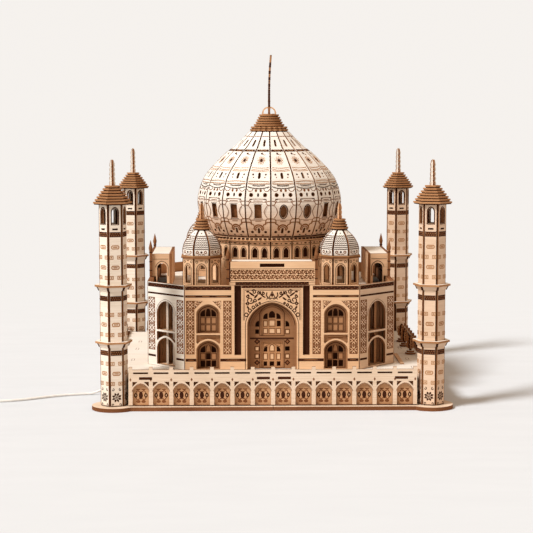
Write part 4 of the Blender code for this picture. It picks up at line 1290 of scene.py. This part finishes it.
def make_roof_deck():
    """The flat roof, scored in squares, with the round hole over the lamp."""
    roof = Piece("roof", "ply_light", "roof_deck")
    near = HOUSE_HALF + FACADE_HALF - 4 * math.sqrt(2) - 2 * GAP - ROOF_HALF
    outline = [(near, -ROOF_HALF), (ROOF_HALF, -near), (ROOF_HALF, near), (near, ROOF_HALF)]
    outline += [(-x, -y) for x, y in outline]
    roof.plate(outline, ROOF_TOP - PLY, ROOF_TOP, (ellipse(0, 0, 12.8, 12.8, 32),), "board")
    for k in range(-3, 4):
        for lengthways in (True, False):
            offset = 22.0 * k
            reach = 86.0 - max(0.0, abs(offset) - near + 4)
            path = [(offset, -reach), (offset, reach)] if lengthways else [(-reach, offset), (reach, offset)]
            roof.line(path, 0.25, ROOF_TOP, "brown_ink")
    roof.finish()


# ---------------------------------------------------------------- corner kiosks
def radius_at(profile, height):
    """The radius of a profile of (height, radius) points at a height."""
    for (z0, r0), (z1, r1) in zip(profile, profile[1:]):
        if height <= z1 or (z1, r1) == profile[-1]:
            return r0 + (r1 - r0) * (height - z0) / (z1 - z0)


def rib_half(profile, corners, height, gap):
    """Half the width of a rib at a height."""
    return max(radius_at(profile, height) * math.sin(math.pi / corners) - gap, 0.3)


def surface_of(profile, corners, middle, home):
    """A placing function for one flat-sided rib of a dome: x across, y height, z out from its face."""
    def radius(height):
        return radius_at(profile, height) * math.cos(math.pi / corners)

    def place(x, y, z):
        slope = radius(y + 0.5) - radius(y - 0.5) if profile[0][0] + 0.5 < y < profile[-1][0] - 0.5 else 0.0
        length = math.hypot(1.0, slope)
        return home @ turn_z(middle) @ Vector((x, -radius(y) - z / length, y - z * slope / length))

    return place


def rib(piece, profile, corners, gap, thick, heights, cuts, face):
    """A rib in bands from one height to the next; cuts gives the holes of each band by its index."""
    for i, (z0, z1) in enumerate(zip(heights, heights[1:])):
        a, b = rib_half(profile, corners, z0, gap), rib_half(profile, corners, z1, gap)
        joins = [z for z in (z0, z1) if z not in (heights[0], heights[-1])]
        outline = [(-a, z0), (a, z0), (b, z1), (-b, z1)]
        piece.plate(outline, -thick, 0.0, cuts.get(i, ()), face, "edge", joins=joins)


def make_kiosk(corner, degrees):
    """Eight arched panels with dark posts in the gaps between them, under a two-sheet eave with a dark filler
    between its sheets and a dark ring beneath; posts, filler and ring are painted shade.
    """
    home = turn_z(degrees) @ shift(KIOSK_OFFSET, -KIOSK_OFFSET)
    kiosk = Piece(f"kiosk_{corner}", "ply_outer", f"chhatri_{corner}_kiosk")
    bottom, eave = ROOF_TOP + GAP, KIOSK_TOP - PLY
    apothem = KIOSK_RADIUS * math.cos(math.pi / 8)
    half = KIOSK_RADIUS * math.sin(math.pi / 8) - 0.85
    opening = arch(0, 3.1, KIOSK_SILL, 101.0, 104.2, 4, 0.7)
    for k in range(8):
        kiosk.at(home @ panel(45 * k) @ shift(0, 0, apothem))
        kiosk.plate(rectangle(-half, bottom, half, eave - 0.2), -PLY + 0.4, 0.0, (opening,))
        kiosk.loop(arch(0, 3.9, KIOSK_SILL - 0.9, 101.2, 105.2, 4, 0.7), 0.3)
        for hand in (-1, 1):
            kiosk.loop(ellipse(hand * 3.7, 106.4, 0.9, 0.9, 8), 0.32)
        kiosk.dot(0, 107.3, 1.5, 0.4, 8, 0.0, "brown_ink")
        # Painted shade: a near-black post fills each gap between the panels.
        kiosk.at(home @ turn_z(22.5 + 45 * k) @ shift(KIOSK_RADIUS - 2.3, 0))
        kiosk.turned(disc(1.1, bottom, eave - 0.3), 4, 45, "ink")
    kiosk.at(home)
    inner = KIOSK_RADIUS - 2.4
    # Painted shade: a dark ring under the eave.
    kiosk.turned(collar(inner - 1.0, inner, eave - 3.0, eave), 8, 22.5, "inner", ring=True)
    # Painted shade: the middle, smaller sheet of the eave is near black.
    sheets = ((17.6, 0.0, 0.75, "edge"), (16.9, 0.75, 1.1, "ink"), (17.3, 1.1, PLY, "layer"))
    for radius, z0, z1, face in sheets:
        kiosk.turned(collar(5.0, radius, eave + z0, eave + z1), 8, 22.5, face, ring=True)
    kiosk.finish()


def make_kiosk_dome(corner, degrees):
    """Eight ribs with shingle lines over a near-black liner, a stack of four rings with near-black fillers
    between them, and a finial. The liner, which shows in the gaps between the ribs, and the fillers are
    painted shade.
    """
    home = turn_z(degrees) @ shift(KIOSK_OFFSET, -KIOSK_OFFSET)
    dome = Piece(f"kiosk_dome_{corner}", "ply_outer", f"chhatri_{corner}_dome").at(home)
    heights = [z for z, _ in KIOSK_DOME]
    foot, peak = heights[0], heights[-1]
    # Painted shade: a near-black liner shows in the gaps between the ribs.
    liner = [(r - 1.9, z) for z, r in KIOSK_DOME]
    dome.turned([(0.0, foot), *liner, (0.0, peak)], 8, 22.5, "ink")
    for k in range(8):
        dome.bent(surface_of(KIOSK_DOME, 8, 45 * k, home))
        rib(dome, KIOSK_DOME, 8, 0.9, 1.4, heights, {}, "cream")
        dome.dot(0, 114.0, 0.9, 1.0, 8)
        dome.dot(0, 128.4, 0.6, 0.4, 8)
        for hand in (-1, 1):
            dome.loop(ellipse(hand * 3.2, 114.0, 0.9, 0.9, 8), 0.45, 0.0, "brown_ink")
            dome.line([(hand * 0.4, 111.9), (hand * 1.6, 112.6), (hand * 2.6, 111.8)], 0.4, 0.0, "brown_ink")
        for row in range(8):
            z = 116.2 + 1.42 * row
            half = rib_half(KIOSK_DOME, 8, z, 1.1)
            count = 2 * max(2, int(half * 2 / 1.6))
            path = [(-half + 2 * half * i / count, z + (0.28 if i % 2 else -0.12)) for i in range(count + 1)]
            dome.line(path, 0.42)
    dome.at(home)
    pitch, gap = 2.15, 0.9
    for i, radius in enumerate((6.9, 6.1, 5.4, 4.8)):
        z = peak + pitch * i
        # Painted shade: a near-black filler under each ring.
        dome.turned(disc(radius - 0.5, z, z + gap), 16, 0, "ink")
        dome.turned(disc(radius, z + gap, z + pitch), 16, 0, "layer")
    outline = scalloped(139.0, KIOSK_FINIAL_TOP, 3, 1.9)
    for angle in (0, 90):
        dome.at(home @ panel(angle))
        dome.plate(outline, -0.7, 0.7)
    dome.finish()


# ---------------------------------------------------------------- drum, dome and crown
def make_drum():
    """Eighteen panels with two arched windows each over a near-black ring, which is painted shade in the
    windows and gaps, under a cornice with burnt teeth.
    """
    drum = Piece("drum_detailed", "ply_outer", "drum")
    bottom, ledge = ROOF_TOP + GAP, DRUM_TOP - 2.6
    # Painted shade: a near-black ring behind the panels.
    drum.turned(collar(46.6, 48.2, bottom, ledge), GORES, -90, "ink", ring=True)
    apothem = DRUM_RADIUS * math.cos(math.pi / GORES)
    half = DRUM_RADIUS * math.sin(math.pi / GORES) - 0.6
    windows = [arch(x, 2.15, 107.6, 112.6, 115.6, 5, 0.6) for x in (-3.9, 3.9)]
    for k in range(GORES):
        drum.at(panel(20 * k + 10) @ shift(0, 0, apothem))
        drum.plate(rectangle(-half, bottom, half, ledge), -1.6, 0.0, windows)
        for x in (-3.9, 3.9):
            drum.loop(arch(x, 2.75, 106.9, 112.8, 116.5, 5, 0.6), 0.3)
            drum.dot(x, 119.0, 1.3, 0.5, 8)
            drum.loop(brick(x, 101.4, 1.6, 2.6, 0.5), 0.25)
        for x in (-half + 0.8, 0.0, half - 0.8):
            drum.dot(x, 119.0, 0.6, 0.45, 6)
        for z, width in ((105.2, 0.24), (117.8, 0.24), (120.9, 0.6)):
            drum.line([(-half, z), (half, z)], width)
    drum.at(Matrix.Identity(4))
    teeth = toothed(53.2, GORES * 5, 1.8, 0.5)
    hole = ellipse(0, 0, 47.5, 47.5, 72)
    drum.plate(teeth, DRUM_TOP - 1.3, DRUM_TOP - 0.1, (hole,), "ink", "ink")
    drum.plate(ellipse(0, 0, 51.6, 51.6, 72), DRUM_TOP - 1.3, DRUM_TOP, (hole,), "tan", "tan")
    drum.plate(ellipse(0, 0, 52.6, 52.6, 72), ledge, DRUM_TOP - 1.35, (hole,), "tan", "screen")
    drum.finish()


def dome_profile():
    """The dome's outside as (height, radius), a smooth curve through its points."""
    ends = [DOME_POINTS[0], *DOME_POINTS, DOME_POINTS[-1]]
    curve = []
    for near_points in zip(ends, ends[1:], ends[2:], ends[3:]):
        for i in range(4):
            curve.append(tuple(between_points(*values, i / 4) for values in zip(*near_points)))
    return [*curve, DOME_POINTS[-1]]


def between_points(a, b, c, d, t):
    """A smooth step from b at t 0 to c at t 1, whose slopes follow from a and d."""
    square, cube = 2 * a - 5 * b + 4 * c - d, 3 * b - a - 3 * c + d
    return 0.5 * (2 * b + (c - a) * t + square * t**2 + cube * t**3)


def wave(half, z, sag, count=8):
    """A line across a rib that sags in the middle by so much."""
    return [(half * (2 * i / count - 1), z - sag * (1 - (2 * i / count - 1) ** 2)) for i in range(count + 1)]


def gore_openings(oval):
    """The cut-outs of a gore by its band: slots, holes and the big window."""
    window = ellipse(0, 145.0, 2.75, 4.9, 18) if oval else rectangle(-2.9, 139.7, 2.9, 150.8)
    return {
        12: (brick(0, 198.4, 0.85, 2.7, 0.5),),
        7: (brick(0, 173.2, 1.05, 2.4, 0.6),),
        5: (ellipse(0, 158.3, 0.85, 1.6, 10), *[ellipse(x, 158.3, 1.45, 1.45, 12) for x in (-5.6, 5.6)]),
        3: (window,),
        1: (brick(0, 129.6, 0.95, 2.2, 0.4),),
    }


def gore_engraving(dome, profile, oval):
    """All the scored lines of one gore, from the crown down to the drum."""
    def across(z):
        half = rib_half(profile, GORES, z, 0.9)
        return [(-half, z), (half, z)]

    def sagging(z, part, sag):
        return wave(across(z)[1][0] * part, z, sag)

    dome.line(across(203.8), 0.35, 0.0, "brown_ink")
    dome.mark([*across(191.8), *across(193.4)[::-1]])
    for k in range(-2, 3):
        dome.dot(1.2 * k, 192.6, 0.35, 0.35, 6, 0.03, "layer")
    dome.dot(-0.4, 190.3, 0.8, 0.8, 8)
    dome.line([(0.4, 190.0), (1.5, 189.3), (2.6, 189.4)], 0.3, 0.0, "brown_ink")
    heart = 185.0
    for k in range(8):
        turn = 45 * k
        a = math.radians(turn)
        petal = ellipse(2.2 * math.cos(a), heart + 2.2 * math.sin(a), 0.75, 0.5, 7, turn)
        dome.loop(petal, 0.26, 0.0, "layer")
        a += math.radians(22.5)
        dome.dot(3.6 * math.cos(a), heart + 3.3 * math.sin(a), 0.3, 0.25, 5, 0.0, "layer")
    dome.dot(0, heart, 1.25, 1.25, 10)
    for z, part, sag, width, tone in (
        (179.6, 0.93, 0.5, 0.26, "layer"), (178.4, 0.93, 0.9, 0.26, "layer"),
        (177.2, 0.93, 0.6, 0.26, "layer"), (168.6, 0.97, -0.5, 0.25, "layer"),
        (167.2, 0.97, 0.3, 0.3, "layer"), (165.9, 0.55, 0.4, 0.3, "ink"), (164.8, 0.97, 1.5, 0.34, "ink"),
    ):
        dome.line(sagging(z, part, sag), width, 0.0, tone)
    edge = across(152)[1][0]
    strokes = (
        (0.42, "brown_ink", ((edge, 153.4), (7.2, 153.2), (6.2, 154.9))),
        (0.42, "brown_ink", ((edge, 150.3), (7.8, 150.2), (5.6, 153.8))),
        (0.3, "brown_ink", ((7.4, 149.6), (5.9, 147.6), (4.8, 144.8), (5.9, 142.0), (7.3, 140.0))),
        (0.5, "edge", ((edge, 139.4), (7.0, 139.3), (6.0, 138.0), (5.5, 135.4))),
        (0.55, "edge", ((edge, 136.6), (6.6, 136.4), (5.6, 135.0), (4.2, 134.7), (3.6, 133.4))),
    )
    dots = (
        (5.1, 174.2, 0.72, 0.72, 8, "ink"), (4.6, 171.9, 0.55, 0.5, 8, "brown_ink"),
        (1.9, 161.7, 0.95, 1.15, 9, "brown_ink"), (5.6, 154.9, 1.4, 0.42, 8, "ink"),
        (5.3, 128.6, 1.2, 1.0, 9, "ink"), (2.9, 126.0, 0.9, 0.5, 8, "ink"),
    )
    half_turn = [math.pi * i / 8 for i in range(9)]
    for hand in (-1, 1):
        for width, tone, path in strokes:
            dome.line([(hand * x, z) for x, z in path], width, 0.0, tone)
        for x, z, rx, rz, steps, tone in dots:
            dome.dot(hand * x, z, rx, rz, steps, 0.0, tone)
        scallop = [(hand * 6.6 - 2.2 * math.cos(a), 163.0 - 1.9 * math.sin(a)) for a in half_turn]
        dome.line(scallop, 0.32, 0.0, "brown_ink")
        dome.loop(ellipse(hand * 5.6, 158.3, 1.5, 1.5, 12), 0.22, 0.0, "brown_ink")
        dome.line(swirl(hand * 2.7, 130.9, 0.95, 0.8, 0 if hand > 0 else 180, -hand, 7), 0.6, 0.0, "edge")
    window = ellipse(0, 145.0, 3.3, 5.5, 18) if oval else rectangle(-3.4, 139.2, 3.4, 151.3)
    dome.loop(window, 0.5)
    for z, reach, width in ((155.1, 5.4, 0.3), (152.6, 7.4, 0.22), (138.3, 6.0, 0.22)):
        dome.line([(-reach, z), (reach, z)], width, 0.0, "brown_ink")
    for z, half, width in ((153.6, 3.6, 0.34), (137.4, 2.4, 0.3)):
        dome.line(wave(half, z, 0.0, 4), width, 0.0, "edge")
    over = [math.pi * i / 10 for i in range(11)]
    for reach, rise, width in ((3.8, 3.4, 0.74), (2.5, 1.9, 0.5)):
        cap = [(reach * math.cos(a), 131.0 + rise * math.sin(a)) for a in over]
        dome.line(cap, width, 0.0, "edge")
    dome.line(across(124.6), 0.6)


def make_dome():
    """Eighteen engraved gores with real cut-outs over a dark liner, which is painted shade showing through
    the cut-outs and the gaps.
    """
    profile = dome_profile()
    dome = Piece("dome", "ply_light", "main_dome")
    # Painted shade: a dark liner under the gores.
    liner = [(r - 3.2, z) for z, r in profile[::2]]
    shell = [*liner, *[(r - 1.0, z) for r, z in liner[::-1]]]
    dome.turned(shell, GORES, -90, "edge", ring=True)
    for k in range(GORES):
        oval = k in OVAL_GORES
        dome.bent(surface_of(profile, GORES, 20 * k + 10, Matrix.Identity(4)))
        rib(dome, profile, GORES, 0.6, 1.5, GORE_BANDS, gore_openings(oval), "dome")
        gore_engraving(dome, profile, oval)
    dome.finish()


def toothed(radius, teeth, depth, start=0.0):
    """A round outline with square teeth; start is in quarters of a tooth's pitch."""
    points = []
    for k in range(teeth * 4):
        r = radius if k % 4 in (0, 1) else radius - depth
        a = 2 * math.pi * (k + start) / (teeth * 4)
        points.append((r * math.cos(a), r * math.sin(a)))
    return points


def make_crown():
    """Stacked rings, the lower ones toothed, with near-black fillers between them as painted shade, and two
    crossed plates with loops cut in them.
    """
    crown = Piece("crown", "ply_outer", "dome_crown")
    gap = 0.6
    for i, radius in enumerate(CROWN_LAYERS):
        z = CROWN_BOTTOM + PLY * i
        outline = toothed(radius, 20, 1.3) if i < 2 else ellipse(0, 0, radius, radius, 36)
        crown.plate(outline, z + gap, z + PLY, (), "layer", "layer")
        # Painted shade: a near-black filler under each ring.
        crown.block(ellipse(0, 0, radius - 0.6, radius - 0.6, 36), z, z + gap, "ink")
    base = CROWN_BOTTOM + PLY * len(CROWN_LAYERS)
    rise, reach = min(CROWN_TOP - base, 6.3), 5.9
    half_turn = [math.pi * i / 18 for i in range(19)]
    fin = [(reach * math.cos(a), base + rise * math.sin(a) ** 0.8) for a in half_turn]
    loop = [(0.5, base + 0.5)]
    for i in range(9):
        a = math.pi / 2 * i / 8
        loop.append((0.5 + 4.1 * math.cos(a), base + 0.5 + (rise - 1.8) * math.sin(a) ** 0.8))
    for angle in (0, 90):
        crown.at(panel(angle))
        crown.plate(fin, -0.8, 0.8, ([(-x, z) for x, z in loop], loop))
    crown.finish()


def make_spire():
    """Two crossed beaded plates that lean slightly towards their tip."""
    spire = Piece("spire_detailed", "ply_outer", "spire")
    start = low("spire").z - 6.0
    outline = beaded(start, SPIRE_TOP, 7, 0.9, 1.2)
    for angle in (0, 90):
        spire.bent(leaning(panel(angle), start))
        spire.plate(outline, -0.8, 0.8, (), "layer", "ink")
    spire.finish()


def leaning(home, start):
    """A placing function that bends to the right with height, from start up."""
    def place(x, y, z):
        t = max(0.0, (y - start) / (SPIRE_TOP - start) - 0.3)
        return home @ Vector((x, y, z)) + Vector((3.0 * t * t, 0.0, 0.0))

    return place


# ---------------------------------------------------------------- garden and lamp
def make_tree(name, x, y, *nodes):
    """A small cypress of two crossed leaf plates on a double round stand."""
    tree = Piece(name, "ply_inner", *nodes).at(shift(x, y))
    bottom = DECK_TOP + GAP
    tree.plate(ellipse(0, 0, 4.4, 4.4, 24), bottom, bottom + 1.4, (), "board")
    tree.plate(ellipse(0, 0, 3.2, 3.2, 20), bottom + 1.5, bottom + 2.9, (), "board")
    right = [(0.8, 2.8), (0.9, 4.0), (3.4, 5.6), (3.1, 6.8), (4.0, 8.2)]
    right += [(2.8, 9.6), (3.3, 10.8), (1.8, 12.2), (2.1, 13.2), (0.5, 15.2)]
    leaf = symmetric([(u, bottom + z) for u, z in right], bottom + 15.5)
    for angle in (-25, 65):
        tree.at(shift(x, y) @ panel(angle))
        tree.plate(leaf, -0.6, 0.6, (), "niche", "ink")
        tree.line([(0.0, bottom + 4.5), (0.0, bottom + 13.5)], 0.3, 0.6)
        for k in range(4):
            for hand in (-1, 1):
                tree.line([(0.0, bottom + 5.0 + 2.1 * k), (hand * 1.7, bottom + 6.6 + 2.1 * k)], 0.22, 0.6)
    tree.finish()


def make_lamp():
    """A puck with a rim, a small board with three light chips, and a frosted cap."""
    lamp = Piece("lamp", "lamp", "led_lamp")
    floor = low("led_lamp").z
    rim, board = floor + 5.6, floor + 6.6
    puck = [(0.0, floor), (10.4, floor), (11.0, floor + 0.6), (11.0, rim - 1.0), (10.2, rim), (0.0, rim)]
    lamp.turned(puck, 48, 0, "plastic")
    lamp.turned(disc(8.6, rim, board), 36, 0, "circuit")
    for k in range(3):
        a = math.tau * k / 3
        lamp.block(brick(7.2 * math.cos(a), 7.2 * math.sin(a), 0.8, 0.8, 0.2), board, board + 0.5, "chip")
    cap = [(6.3, board), (6.5, board + 1.4), (6.5, 37.0), (6.0, 40.0), (4.6, 42.8), (2.4, 44.4), (0.0, 45.0)]
    lamp.turned([(0.0, board), *cap], 40, 0, "diffuser")
    lamp.finish(smooth=True)


def main():
    make_camera()
    make_cable(make_plug())
    make_light()
    make_floor()
    make_base()
    make_decks()
    for side, degrees in SIDES.items():
        make_terrace_wall(side, degrees)
        make_facade(side, degrees)
        make_portal_screen(side, degrees)
        make_attic(side, degrees)
    for corner, degrees in CORNERS.items():
        make_tower(corner, degrees)
        make_corner_wall(corner, degrees)
        make_kiosk(corner, degrees)
        make_kiosk_dome(corner, degrees)
    make_roof_deck()
    make_drum()
    make_dome()
    make_crown()
    make_spire()
    make_tree("cypress_front", 115.8, -23.0, "tree_front")
    make_tree("cypress_middle", 115.8, 19.0, "tree_middle")
    make_tree("cypress_back", 116.0, 45.0)
    make_lamp()
    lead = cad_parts["lamp_lead"]
    lead.data.materials.clear()
    lead.data.materials.append(MATERIALS["rubber"])


main()
